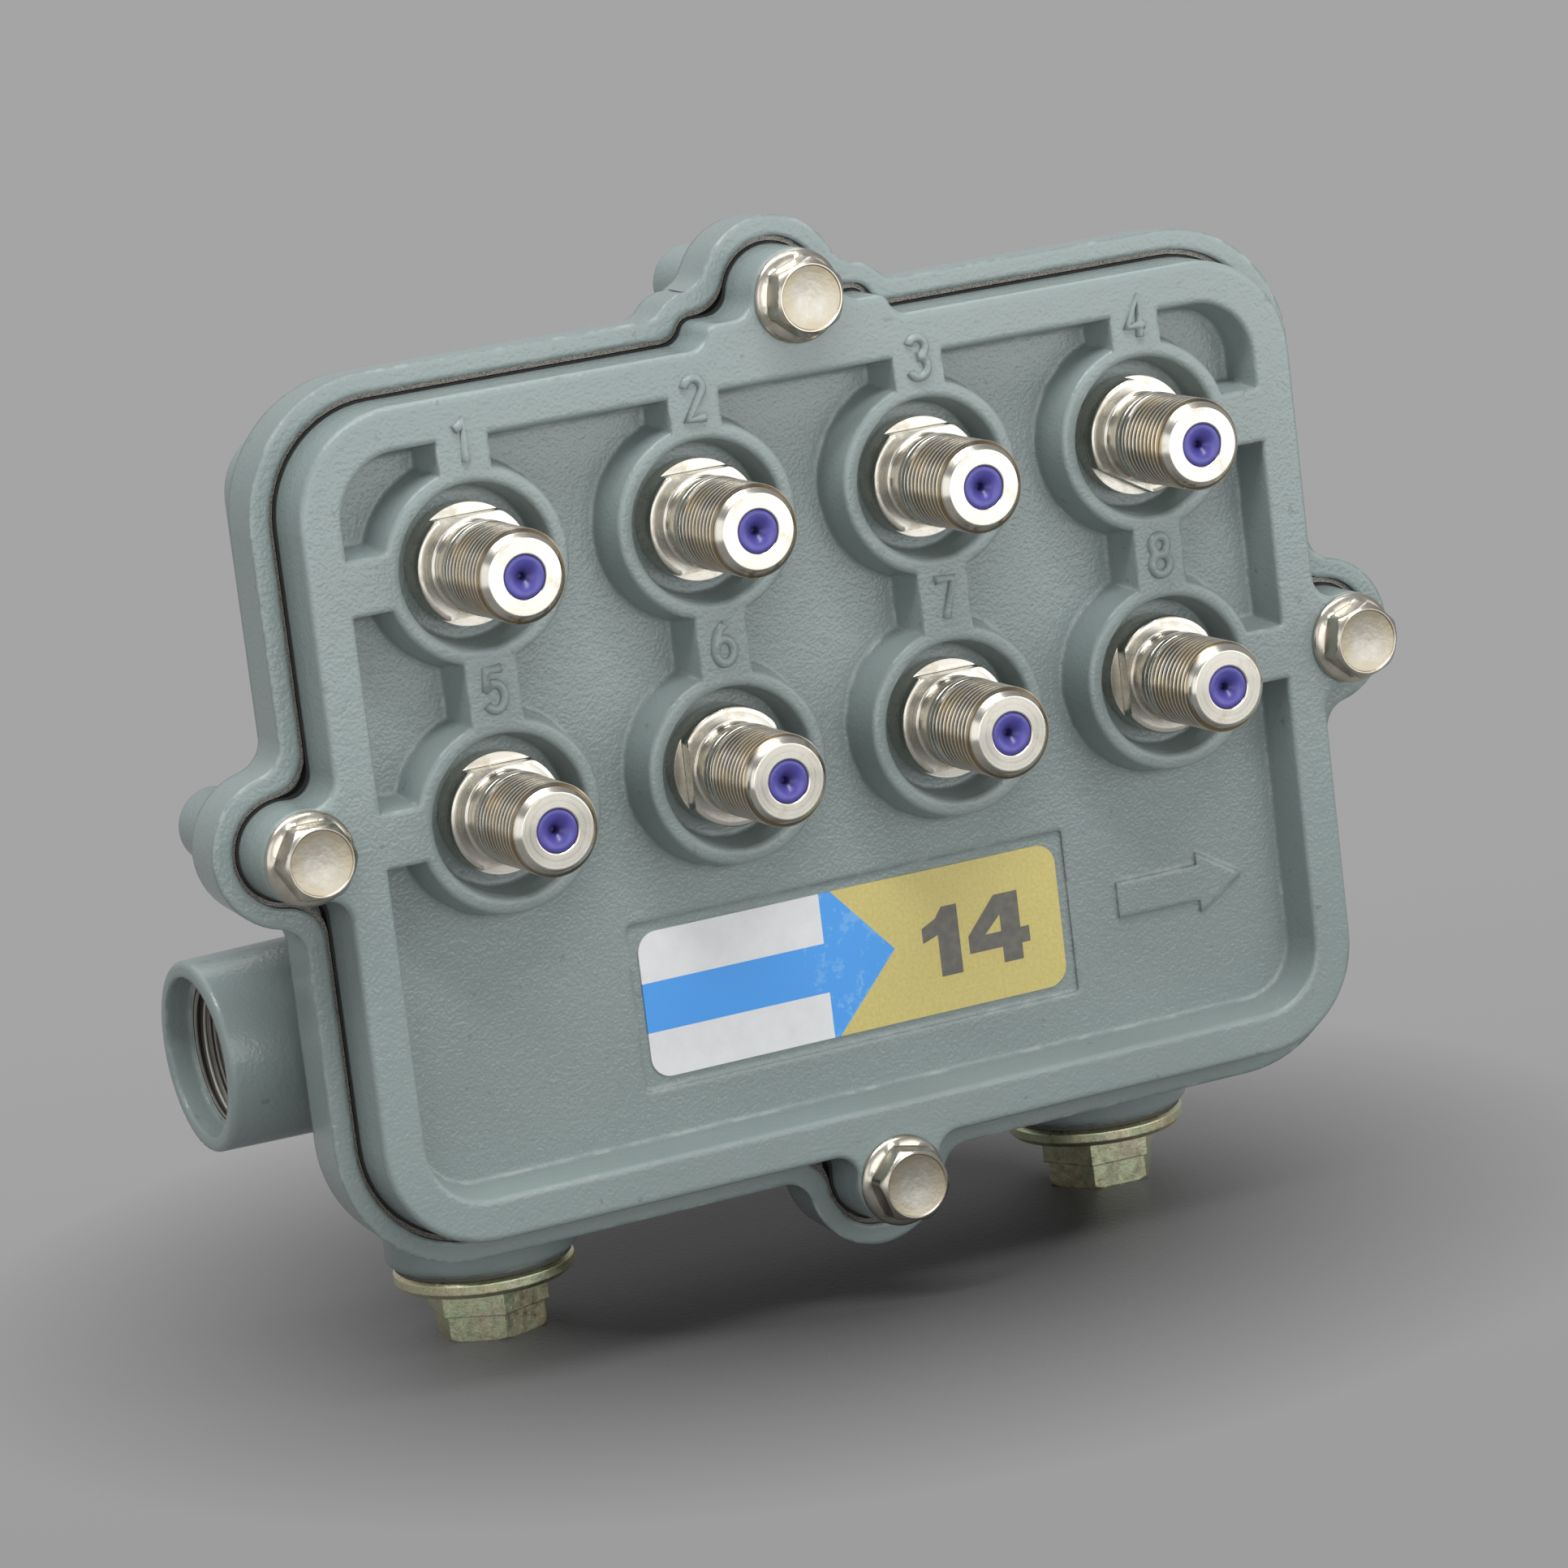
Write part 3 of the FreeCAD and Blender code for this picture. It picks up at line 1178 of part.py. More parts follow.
def make_clamp_bolt():
    """Hex bolt that draws the jaw to the pad."""
    seat = JAW_BACK + size("clamp_washer_thickness")
    end = PAD_BACK - size("clamp_thread_depth") + size("clamp_thread_spare")
    length = seat - end
    head = size("clamp_head")
    body = turned_piece("clamp_bolt", [
        (ZERO, -length), (size("clamp_bolt_radius") - size("clamp_corner_cut"), -length),
        (size("clamp_bolt_radius"), size("clamp_corner_cut") - length),
        (size("clamp_bolt_radius"), ZERO), (ZERO, ZERO)])
    hex_prism(body, size("clamp_hex"), "XZ_Plane", -head, head)
    crown = new_sketch(body, "XY_Plane")
    corner = size("clamp_hex") * HEX_CORNER
    cut = size("clamp_corner_cut")
    add_polygon(crown, [(corner - cut * 2.0, head), (corner + cut, head - cut * 1.5),
                        (corner + cut, head)])
    turn_round(body, "Groove", crown)
    return place(body, ZERO, seat, CLAMP_BOLT_HEIGHT)


def make_all():
    pieces = [make_housing(), make_cover(), make_label()]
    pieces.append(make_gasket("mesh_gasket", size("mesh_outer"), size("mesh_inner"),
                              size("lip_blend")))
    pieces.append(make_gasket("weather_gasket", size("rubber_outer"), size("rubber_inner"),
                              size("ear_blend")))
    for number, ((x, z), turn) in enumerate(zip(PORTS, PORT_TURNS), start=1):
        pieces.append(make_port(number, x, z, turn))
        pieces.append(make_insulator(number, x, z))
        pieces.append(make_contact(number, x, z))
        pieces.append(make_core(number, x, z))
    for name, (x, z) in EARS.items():
        pieces.append(make_cover_bolt(name, x, z, BOLT_TURNS[name]))
    pieces += [make_board(), make_board_screws()]
    for name, sign in SIDES.items():
        pieces.append(make_plug(name, sign, PLUG_TURNS[name]))
        pieces.append(make_seal(name, sign))
        pieces.append(make_board_pin(name, sign))
        pieces.append(make_seizure_block(name, sign))
        pieces.append(make_terminal(name, sign))
        pieces.append(make_seizure_screw(name, sign))
    pieces += [make_jaw(), make_clamp_washer(), make_clamp_bolt()]
    return pieces


def check(pieces):
    """Stop if any object failed or any piece isn't a sound solid."""
    for item in doc.Objects:
        if "Invalid" in item.State or "Error" in item.State:
            raise RuntimeError(f"{item.Label} failed: {item.State}")
    for piece in pieces:
        shape = piece.Shape
        if shape.isNull() or not shape.isValid() or not shape.Solids:
            raise RuntimeError(f"{piece.Label} is not a sound solid")


sub_parts = make_all()
doc.recompute()
check(sub_parts)
os.makedirs("parts", exist_ok=True)
for piece in sub_parts:
    piece.Shape.exportStep(os.path.join("parts", f"{piece.Label}.step"))
    print(f"{piece.Label:24s} {len(piece.Shape.Solids)} {piece.Shape.Volume:10.1f}")
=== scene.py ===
"""Looks of an eight-way outdoor cable TV tap: paint, plated metal, threads, numerals, studio."""

import json
import math

import bmesh
import bpy
from mathutils import Matrix, Vector


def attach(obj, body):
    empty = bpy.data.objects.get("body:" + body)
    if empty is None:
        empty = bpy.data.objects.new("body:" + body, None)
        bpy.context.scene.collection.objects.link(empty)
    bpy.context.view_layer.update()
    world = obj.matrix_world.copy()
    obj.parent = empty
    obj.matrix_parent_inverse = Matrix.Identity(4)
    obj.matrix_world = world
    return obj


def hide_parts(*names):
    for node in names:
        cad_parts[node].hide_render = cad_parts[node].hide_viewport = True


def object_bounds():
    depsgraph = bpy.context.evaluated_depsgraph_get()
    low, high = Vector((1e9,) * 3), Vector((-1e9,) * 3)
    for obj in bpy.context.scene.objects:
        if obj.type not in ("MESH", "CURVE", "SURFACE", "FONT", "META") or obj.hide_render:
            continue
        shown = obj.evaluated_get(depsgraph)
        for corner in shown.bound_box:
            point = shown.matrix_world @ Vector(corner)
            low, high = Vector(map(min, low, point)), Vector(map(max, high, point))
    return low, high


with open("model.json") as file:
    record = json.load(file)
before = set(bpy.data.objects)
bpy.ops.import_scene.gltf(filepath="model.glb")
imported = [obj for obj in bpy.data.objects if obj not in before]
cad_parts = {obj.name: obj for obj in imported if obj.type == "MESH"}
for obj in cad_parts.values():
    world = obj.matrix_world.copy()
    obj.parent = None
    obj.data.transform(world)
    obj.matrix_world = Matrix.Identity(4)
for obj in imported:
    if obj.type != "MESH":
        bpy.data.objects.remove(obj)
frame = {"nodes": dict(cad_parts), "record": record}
cad_low, cad_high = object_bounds()

# The casting's own frame is in millimetres, with its origin on the rim plane at the lower port
# row. These two say where that origin is in the part's frame.
MM = 0.001
RIM_DEPTH = -46.0
LOWER_ROW = -30.0

# Ports with the turn of each port's flats, and cover bolts, by x, z and turn
PORT_PITCH = 25.4
COLUMNS = [PORT_PITCH * factor for factor in (-1.5, -0.5, 0.5, 1.5)]
PORTS = [(x, z) for z in (PORT_PITCH, 0.0) for x in COLUMNS]
PORT_TURNS = [0, 0, 0, 30, 0, 90, 0, 90]
BOLTS = {"top": (0.0, 46.3, 10), "bottom": (0.0, -46.3, 42),
         "left": (-59.9, 0.0, 30), "right": (59.9, 0.0, 12)}

# F port thread. A pitch has four rows: THREAD_PHASES says where in it, and THREAD_WAVE is 1 for
# a row on the crest and 0 for one in the root.
TIP = -11.6
TIP_RADIUS = 3.86
TIP_SLOPE = 1.05
THREAD_PITCH = 0.794
THREAD_MAJOR = 4.75
THREAD_MINOR = 4.30
THREAD_START = -11.4
THREAD_END = -3.3
THREAD_PHASES = [0.0, 0.12, 0.42, 0.72]
THREAD_WAVE = [1.0, 1.0, 0.0, 0.0]
ROW_GAP = 0.01
PORT_SEGMENTS = 120

# F port shell and collar as (radius, distance from the rim plane), and its base with flats as
# (radius, distance, half the width over the flats)
SHELL_PROFILE = [(3.0, 7.2), (3.0, -9.6), (2.2, -9.6), (2.2, TIP + 0.1), (2.3, TIP),
                 (TIP_RADIUS, TIP)]
COLLAR_PROFILE = [(THREAD_MAJOR, THREAD_END + ROW_GAP), (4.80, -3.25), (4.80, -2.70),
                  (4.72, -2.62), (4.72, -2.50), (4.80, -2.42), (4.80, -1.80), (4.40, -1.60),
                  (4.36, 0.05), (4.46, 0.42), (4.66, 0.59), (4.86, 0.62)]
COLLAR_SOFTNESS = 0.03
BASE_RINGS = [(5.6, 0.62, 5.0), (6.0, 0.63, 5.0), (6.12, 0.68, 5.0), (6.18, 0.76, 5.0),
              (6.2, 0.9, 5.0), (6.2, 2.15, 5.0), (6.2, 2.2, 5.04), (6.2, 2.22, 6.3)]
BACK_RINGS = [(6.2, 4.28), (5.0, 4.3), (5.0, 6.5), (5.6, 6.5), (5.6, 7.2), (3.0, 7.2)]

# Wire guide behind the tip
GUIDE_RINGS = [(0.01, -9.9), (0.28, -9.9), (0.34, -10.6), (0.46, -10.80), (0.65, -10.96),
               (0.84, -11.12), (1.04, -11.28), (1.26, -11.41), (1.46, -11.50), (1.68, -11.54),
               (1.88, -11.55), (2.06, -11.52), (2.15, -11.45), (2.19, -11.35), (2.19, -9.65),
               (2.95, -9.6), (2.95, 7.15), (0.9, 7.15), (0.9, -9.5), (0.01, -9.5)]
GUIDE_SEGMENTS = 64

# Cover bolt: shank and flange, hexagon, the rounded cone over its corners, and the dish
SHANK_PROFILE = [(0.01, 18.0), (2.4, 18.0), (2.4, 0.0), (4.62, 0.0), (4.8, -0.16),
                 (4.8, -0.36), (4.62, -0.58), (4.30, -0.80)]
HEAD_CORNERS = 4.22
HEAD_FLATS = 7.3
HEAD_RINGS = [(-0.92, 7.5), (-1.02, 7.34), (-1.2, HEAD_FLATS), (-2.7, HEAD_FLATS)]
CONE_STEPS = 8
CONE_START = -2.78
CONE_LENGTH = 0.68
CONE_TIP_RADIUS = 3.47
CONE_WIDENING = 0.66
CONE_CURVE = 0.8
DISH_PROFILE = [(3.43, -3.5), (3.30, -3.5), (3.22, -3.37), (2.6, -3.27), (1.7, -3.16),
                (0.8, -3.08), (0.01, -3.04)]
DISH_SOFTNESS = 0.02
BOLT_SEGMENTS = 96

# Entry ports
ENTRY_DEPTH = 26.6
ENTRY_HEIGHT = -23.6
ENTRY_PITCH = 1.058
ENTRY_MAJOR = 7.93
ENTRY_MINOR = 7.37
ENTRY_ROOT = ENTRY_MAJOR - 0.05
ENTRY_FROM = 62.4
ENTRY_TO = 49.5

# Numerals in the casting's frame, and the label's printed value in the part's own frame, both in
# millimetres
NUMERAL_STROKE = 0.50
ARC_STEP = 12
UPPER_NUMERALS = 35.85
LOWER_NUMERALS = 10.8
LABEL_FACE = RIM_DEPTH + 4.8
PRINT_RISE = 0.02
VALUE_TOP = -50.0
VALUE_FOOT = -57.4

# Mesh work. A corner gets two rings on each side, at these multiples of its softness or of a
# share of the run, whichever is less. MERGE and SLIVER are in metres, SHARP_ANGLE in degrees.
CORNER_FAR = 2.4
CORNER_NEAR = 1.0
CORNER_SHARE = 0.2
MERGE = 0.000001
SLIVER = 0.0000005
SHARP_ANGLE = 32

# Floor and backdrop, in metres. Near its centre the floor is dark, a painted shadow round the
# plugs that also takes the object's real shadow, and from FLOOR_CLEAR to FLOOR_FADED it turns
# into a plain grey. That grey goes from FRONT_GREY to BACKDROP_GREY along the camera's line of
# sight.
FLOOR_HEIGHT = cad_low[2]
FLOOR_CENTRE = (0.0, -0.015)
FLOOR_RADIUS = 0.40
FLOOR_STEP = 3
FLOOR_CLEAR = 0.032
FLOOR_FADED = 0.095
PAINTED_SHADOW_GREY = (0.062, 0.062, 0.062)
FRONT_GREY = 0.335
BACKDROP_GREY = 0.374
BACKDROP_BLUE = 0.378
SURROUND_COLOR = (0.37, 0.37, 0.38)
LINE_OF_SIGHT = (0.42, 0.91)
GREY_FROM = -0.10
GREY_TO = 0.14

# Soft boxes look at one point. Each has its direction from that point, its distance, width and
# height in metres, and its power in watts.
AIM = (0.0, -0.03, -0.035)
SOFT_BOXES = {"key_front": ((0.32, -0.93, -0.12), 1.1, 2.2, 1.3, 17.5),
              "card_left": ((-0.78, -0.62, 0.02), 1.0, 0.6, 0.9, 2.0),
              "strip_top": ((-0.16, -0.36, 0.90), 0.95, 1.1, 0.13, 9.0),
              "overhead": ((0.08, 0.45, 1.0), 0.9, 1.1, 0.8, 3.4)}

CAMERA_PLACE = Vector((-0.26894567, -0.61157931, 0.09095639))
CAMERA_RIGHT = Vector((0.89141, -0.43735, -0.11877))
CAMERA_UP = Vector((0.19091, 0.12471, 0.97365))
CAMERA_LENS = 143.3165
CAMERA_SENSOR = 36.0


def in_part(x, y, z):
    """A point of the casting's own frame, in metres in the part's frame."""
    return Vector((x * MM, (y + RIM_DEPTH) * MM, (z + LOWER_ROW) * MM))


def link(name, data):
    """A new object of the scene that holds this data."""
    made = bpy.data.objects.new(name, data)
    bpy.context.scene.collection.objects.link(made)
    return made


# Materials: lengths are in metres, and a noise's scale is its cycles in a metre

class Shader:
    """A Principled material and short calls for the nodes that feed it."""

    def __init__(self, name, color, **sockets):
        self.material = bpy.data.materials.new(name)
        self.material.use_nodes = True
        self.tree = self.material.node_tree
        self.main = self.tree.nodes["Principled BSDF"]
        self.set("Base Color", (*color, 1.0))
        for socket, value in sockets.items():
            self.set(socket, value)

    def set(self, socket, value):
        self.main.inputs[socket].default_value = value

    def add(self, kind, **values):
        node = self.tree.nodes.new(kind)
        for key, value in values.items():
            setattr(node, key, value)
        return node

    def join(self, source, target):
        self.tree.links.new(source, target)

    def feed(self, socket, source):
        self.join(source, self.main.inputs[socket])

    def place(self):
        return self.add("ShaderNodeTexCoord").outputs["Object"]

    def axes(self):
        split = self.add("ShaderNodeSeparateXYZ")
        self.join(self.place(), split.inputs[0])
        return split.outputs

    def math(self, operation, first, second=None, clamp=False):
        node = self.add("ShaderNodeMath", operation=operation, use_clamp=clamp)
        for index, value in enumerate((first, second)):
            if value is None:
                continue
            if isinstance(value, (int, float)):
                node.inputs[index].default_value = value
            else:
                self.join(value, node.inputs[index])
        return node.outputs[0]

    def noise(self, scale, detail=2.0, roughness=0.5, vector=None):
        node = self.add("ShaderNodeTexNoise")
        node.inputs["Scale"].default_value = scale
        node.inputs["Detail"].default_value = detail
        node.inputs["Roughness"].default_value = roughness
        self.join(vector or self.place(), node.inputs["Vector"])
        return node.outputs["Fac"]

    def spread(self, value, low, high, to_low=0.0, to_high=1.0):
        """Turn low to high into to_low to to_high, and hold the ends beyond them."""
        node = self.add("ShaderNodeMapRange")
        node.inputs["From Min"].default_value = low
        node.inputs["From Max"].default_value = high
        node.inputs["To Min"].default_value = to_low
        node.inputs["To Max"].default_value = to_high
        self.join(value, node.inputs["Value"])
        return node.outputs["Result"]

    def blend(self, factor, first, second):
        """Colour that goes from first at 0 to second at 1."""
        node = self.add("ShaderNodeMix", data_type="RGBA")
        for index, value in ((0, factor), (6, first), (7, second)):
            if isinstance(value, tuple):
                node.inputs[index].default_value = (*value, 1.0)
            else:
                self.join(value, node.inputs[index])
        return node.outputs[2]

    def bump(self, height, distance, strength, normal=None):
        node = self.add("ShaderNodeBump")
        node.inputs["Strength"].default_value = strength
        node.inputs["Distance"].default_value = distance
        self.join(height, node.inputs["Height"])
        if normal is not None:
            self.join(normal, node.inputs["Normal"])
        return node.outputs["Normal"]

    def rounded(self, radius, samples=6):
        """Normal that runs over every sharp edge in a small radius."""
        node = self.add("ShaderNodeBevel", samples=samples)
        node.inputs["Radius"].default_value = radius
        return node.outputs["Normal"]

    def sharp_edge_mask(self, soft_normal):
        """1 on sharp edges and 0 on flats, from how far the rounded normal leans."""
        geometry = self.add("ShaderNodeNewGeometry")
        dot = self.add("ShaderNodeVectorMath", operation="DOT_PRODUCT")
        self.join(soft_normal, dot.inputs[0])
        self.join(geometry.outputs["Normal"], dot.inputs[1])
        flat, leaning = 0.995, 0.90
        return self.spread(dot.outputs["Value"], flat, leaning)

    def turned_marks(self, axis, scale):
        """Fine rings round a lathe axis: noise that changes only along and across it."""
        parts = self.axes()
        combine = self.add("ShaderNodeCombineXYZ")
        self.join(self.radius_about(axis, parts), combine.inputs[0])
        self.join(parts[axis], combine.inputs[1])
        return self.noise(scale, 3.0, 0.6, combine.outputs[0])

    def radius_about(self, axis, parts):
        """Distance from a coordinate axis."""
        others = [index for index in range(3) if index != axis]
        squares = [self.math("MULTIPLY", parts[index], parts[index]) for index in others]
        return self.math("SQRT", self.math("ADD", squares[0], squares[1]))

    def turn_gloss(self, axis_name, amount):
        """Stretch the gloss across the rings that a lathe leaves round an axis."""
        tangent = self.add("ShaderNodeTangent", direction_type="RADIAL", axis=axis_name)
        self.feed("Tangent", tangent.outputs[0])
        self.set("Anisotropic", amount)
        self.set("Anisotropic Rotation", 0.25)


def paint_material(name, sandy_floor):
    """Satin paint: fine orange peel, sandy on the cover's sunk floor with painted shade in the
    sand's hollows, pale on edges as rubbed paint and a painted highlight.
    """
    dark, light = (0.213, 0.262, 0.256), (0.235, 0.285, 0.277)
    fleck, rubbed_and_sheen_tone, pit_shade = (0.13, 0.15, 0.14), (0.42, 0.46, 0.44), (0.12, 0.145, 0.14)
    sand_front, sand_back = (-0.0431, -0.0423), (-0.0409, -0.0404)
    shader = Shader(name, dark)
    soft = shader.rounded(0.0008, 8)
    tone = shader.blend(shader.spread(shader.noise(22.0, 3.0), 0.35, 0.65), dark, light)
    flecks = shader.spread(shader.noise(600.0), 0.71, 0.76, 0.0, 0.45)
    tone = shader.blend(flecks, tone, fleck)
    # Pale edges: partly rubbed paint, partly a painted highlight along the edges.
    rub_and_sheen = shader.math("MULTIPLY", shader.sharp_edge_mask(soft),
                       shader.spread(shader.noise(420.0, 3.0), 0.48, 0.66, 0.0, 0.55))
    tone = shader.blend(rub_and_sheen, tone, rubbed_and_sheen_tone)
    height = shader.math("ADD", shader.noise(2500.0, 1.0),
                         shader.math("MULTIPLY", shader.noise(800.0, 1.0, 0.4), 0.7))
    if sandy_floor:
        depth = shader.axes()[1]
        sandy = shader.math("MULTIPLY", shader.spread(depth, *sand_front),
                            shader.spread(depth, *sand_back, 1.0, 0.0))
        sand = shader.noise(3700.0, 1.0)
        grain = shader.math("MULTIPLY", sand, shader.math("MULTIPLY", sandy, 0.6))
        height = shader.math("ADD", height, grain)
        # Painted shade: the low spots of the sand grain are darkened.
        painted_pit_shade = shader.math("MULTIPLY", sandy, shader.spread(sand, 0.34, 0.48, 0.14, 0.0))
        tone = shader.blend(painted_pit_shade, tone, pit_shade)
    shader.feed("Base Color", tone)
    shader.feed("Normal", shader.bump(height, 0.000062, 0.9, soft))
    shader.feed("Roughness", shader.spread(shader.noise(90.0), 0.3, 0.7, 0.18, 0.25))
    return shader.material


def bare_casting_material():
    shader = Shader("bare_casting", (0.50, 0.50, 0.485), Metallic=1.0)
    soft = shader.rounded(0.0005)
    shader.feed("Roughness", shader.spread(shader.noise(300.0, 3.0), 0.3, 0.7, 0.45, 0.60))
    shader.feed("Normal", shader.bump(shader.noise(1300.0), 0.00006, 0.5, soft))
    return shader.material


def thread_metal_material():
    """Bare cut thread of the side ports: painted light on crests and roots, painted shade on the
    flanks.
    """
    shadow, metal = (0.10, 0.095, 0.085), (0.70, 0.68, 0.63)
    crest_radii, root_radii = (0.00744, 0.00752), (0.00776, 0.00783)
    shader = Shader("thread_metal", metal, Metallic=0.75)
    radius = shader.radius_about(1, shader.axes())
    # Painted light on crests and roots, painted shade on the flanks.
    lit = shader.math("MAXIMUM", shader.spread(radius, *crest_radii, 1.0, 0.0),
                      shader.spread(radius, *root_radii))
    shader.feed("Base Color", shader.blend(lit, shadow, metal))
    shader.feed("Roughness", shader.spread(shader.noise(500.0, 3.0), 0.3, 0.7, 0.40, 0.52))
    return shader.material


def nickel_material():
    """Turned nickel: fine rings, brown stains, and painted brown shade in the thread's groove."""
    clean, stained = (0.62, 0.595, 0.53), (0.42, 0.35, 0.25)
    dark_groove_shade, brown_groove_shade = (0.115, 0.10, 0.08), (0.26, 0.185, 0.085)
    groove_radii = (0.00461, 0.00474)
    tip_depths, neck_depths = (-0.0111, -0.0109), (-0.0034, -0.0032)
    shader = Shader("nickel", clean, Metallic=1.0)
    shader.turn_gloss("Y", 0.55)
    marks = shader.turned_marks(1, 4200.0)
    stain = shader.noise(380.0, 4.0, 0.6)
    tone = shader.blend(shader.spread(stain, 0.54, 0.74, 0.0, 0.7), clean, stained)
    parts = shader.axes()
    # Painted shade: the thread's groove from the tip to the neck is darkened brown.
    deep = shader.spread(shader.radius_about(1, parts), *groove_radii, 0.93, 0.0)
    behind_tip = shader.spread(parts[1], *tip_depths)
    before_neck = shader.spread(parts[1], *neck_depths, 1.0, 0.0)
    groove = shader.math("MULTIPLY", deep, shader.math("MULTIPLY", behind_tip, before_neck))
    groove_shade = shader.blend(shader.spread(shader.noise(260.0), 0.40, 0.62), dark_groove_shade, brown_groove_shade)
    shader.feed("Base Color", shader.blend(groove, tone, groove_shade))
    shader.feed("Roughness", shader.math("ADD", shader.spread(marks, 0.3, 0.7, 0.16, 0.28),
                                         shader.spread(stain, 0.4, 0.8, 0.0, 0.10)))
    shader.feed("Normal", shader.bump(marks, 0.00001, 0.3))
    return shader.material


def bolt_material():
    """Plated bolt head: brownish flanks, and a cream mottled dish with a tan edge."""
    plate, dull_plate = (0.58, 0.55, 0.48), (0.42, 0.385, 0.31)
    cream_dark, cream_light, tan = (0.45, 0.425, 0.355), (0.52, 0.50, 0.455), (0.44, 0.385, 0.275)
    dish_radii, tan_radii = (0.00332, 0.00322), (0.0014, 0.0031)
    shader = Shader("plated_bolt", plate, Metallic=1.0)
    radius = shader.radius_about(1, shader.axes())
    in_dish = shader.spread(radius, *dish_radii)
    mottle = shader.noise(1100.0, 3.0, 0.65)
    cloud = shader.noise(300.0, 3.0, 0.6)
    cream = shader.blend(shader.spread(mottle, 0.35, 0.65), cream_dark, cream_light)
    edge = shader.math("ADD", shader.spread(radius, *tan_radii, 0.0, 0.8),
                       shader.spread(cloud, 0.35, 0.65, -0.25, 0.35), True)
    dish = shader.blend(edge, cream, tan)
    flank = shader.blend(shader.spread(cloud, 0.4, 0.7), plate, dull_plate)
    shader.feed("Base Color", shader.blend(in_dish, flank, dish))
    shader.feed("Roughness", shader.spread(in_dish, 0.0, 1.0, 0.27, 0.44))
    height = shader.math("MULTIPLY", mottle, shader.spread(in_dish, 0.0, 1.0, 0.2, 1.0))
    shader.feed("Normal", shader.bump(height, 0.00006, 0.7))
    return shader.material


def plated_steel_material():
    shader = Shader("plated_steel", (0.66, 0.64, 0.58), Metallic=1.0)
    soft = shader.rounded(0.0003)
    shader.feed("Roughness", shader.spread(shader.noise(420.0, 3.0), 0.3, 0.7, 0.24, 0.42))
    shader.feed("Normal", shader.bump(shader.noise(1500.0), 0.00002, 0.4, soft))
    return shader.material


def chromate_material():
    """Yellow chromate: gold, green and rose drift over a gritty plating, with painted glints."""
    gold, green, rose = (0.82, 0.74, 0.48), (0.70, 0.78, 0.50), (0.80, 0.60, 0.53)
    scuff, painted_glint, dark_speck = (0.26, 0.235, 0.17), (0.95, 0.93, 0.82), (0.30, 0.28, 0.20)
    shader = Shader("chromate", gold, Metallic=1.0)
    soft = shader.rounded(0.0002)
    drift = shader.noise(170.0, 3.0, 0.6)
    tone = shader.blend(shader.spread(drift, 0.38, 0.58), gold, green)
    tone = shader.blend(shader.spread(shader.noise(240.0), 0.56, 0.70, 0.0, 0.5), tone, rose)
    scuffs = shader.spread(shader.noise(700.0, 4.0, 0.7), 0.60, 0.72, 0.0, 0.18)
    tone = shader.blend(scuffs, tone, scuff)
    specks = shader.noise(4200.0, 2.0, 0.6)
    # Painted glints: bright specks on the grit's high points.
    tone = shader.blend(shader.spread(specks, 0.54, 0.66, 0.0, 0.45), tone, painted_glint)
    tone = shader.blend(shader.spread(specks, 0.36, 0.46, 0.35, 0.0), tone, dark_speck)
    shader.feed("Base Color", tone)
    shader.feed("Roughness", shader.spread(shader.noise(1200.0, 3.0), 0.3, 0.7, 0.26, 0.42))
    shader.feed("Normal", shader.bump(specks, 0.00002, 0.8, soft))
    return shader.material


def violet_material():
    """Violet plastic with a slow drift of tone, and painted shade that darkens it down its funnel.
    """
    dark, light, shaded = (0.058, 0.050, 0.26), (0.075, 0.066, 0.32), (0.022, 0.018, 0.085)
    funnel_radii = (0.0004, 0.0013)
    shader = Shader("violet_plastic", dark, Roughness=0.3)
    tone = shader.blend(shader.spread(shader.noise(700.0), 0.35, 0.65), dark, light)
    # Painted shade: darker towards the middle of the funnel.
    hole = shader.spread(shader.radius_about(1, shader.axes()), *funnel_radii, 0.7, 0.0)
    shader.feed("Base Color", shader.blend(hole, tone, shaded))
    shader.feed("Normal", shader.bump(shader.noise(2400.0), 0.00003, 0.5))
    return shader.material


def bronze_material():
    shader = Shader("bronze", (0.50, 0.36, 0.18), Metallic=1.0)
    shader.feed("Roughness", shader.spread(shader.noise(700.0), 0.3, 0.7, 0.28, 0.45))
    return shader.material


def ferrite_material():
    shader = Shader("ferrite", (0.045, 0.045, 0.048), Roughness=0.6)
    shader.feed("Normal", shader.bump(shader.noise(1800.0), 0.00004, 0.5))
    return shader.material


def board_material():
    """Green solder mask over a faint weave."""
    dark, light = (0.018, 0.10, 0.036), (0.026, 0.13, 0.05)
    shader = Shader("board", dark, Roughness=0.4)
    weave = shader.noise(900.0, 1.0)
    shader.feed("Base Color", shader.blend(shader.spread(weave, 0.4, 0.6), dark, light))
    return shader.material


def white_plastic_material():
    shader = Shader("white_plastic", (0.62, 0.60, 0.54), Roughness=0.45)
    soft = shader.rounded(0.0004)
    shader.feed("Normal", shader.bump(shader.noise(900.0), 0.00002, 0.4, soft))
    return shader.material


def rubber_material(name, color, roughness):
    shader = Shader(name, color, Roughness=roughness)
    shader.feed("Normal", shader.bump(shader.noise(1600.0), 0.00003, 0.6))
    return shader.material


def mesh_gasket_material():
    """Knitted wire seen from afar: a fine grey sparkle, with painted shade darkening the brownish
    spaces among the wires.
    """
    wire, gap_shade = (0.30, 0.285, 0.26), (0.10, 0.094, 0.085)
    shader = Shader("wire_mesh", wire, Metallic=0.8, Roughness=0.42)
    loops = shader.add("ShaderNodeTexVoronoi", feature="F1")
    loops.inputs["Scale"].default_value = 7500.0
    shader.join(shader.place(), loops.inputs["Vector"])
    # Painted shade in the spaces among the wires.
    painted_gap_shade = shader.spread(loops.outputs["Distance"], 0.15, 0.75)
    shader.feed("Base Color", shader.blend(painted_gap_shade, wire, gap_shade))
    shader.feed("Normal", shader.bump(loops.outputs["Distance"], 0.00003, 0.8))
    return shader.material


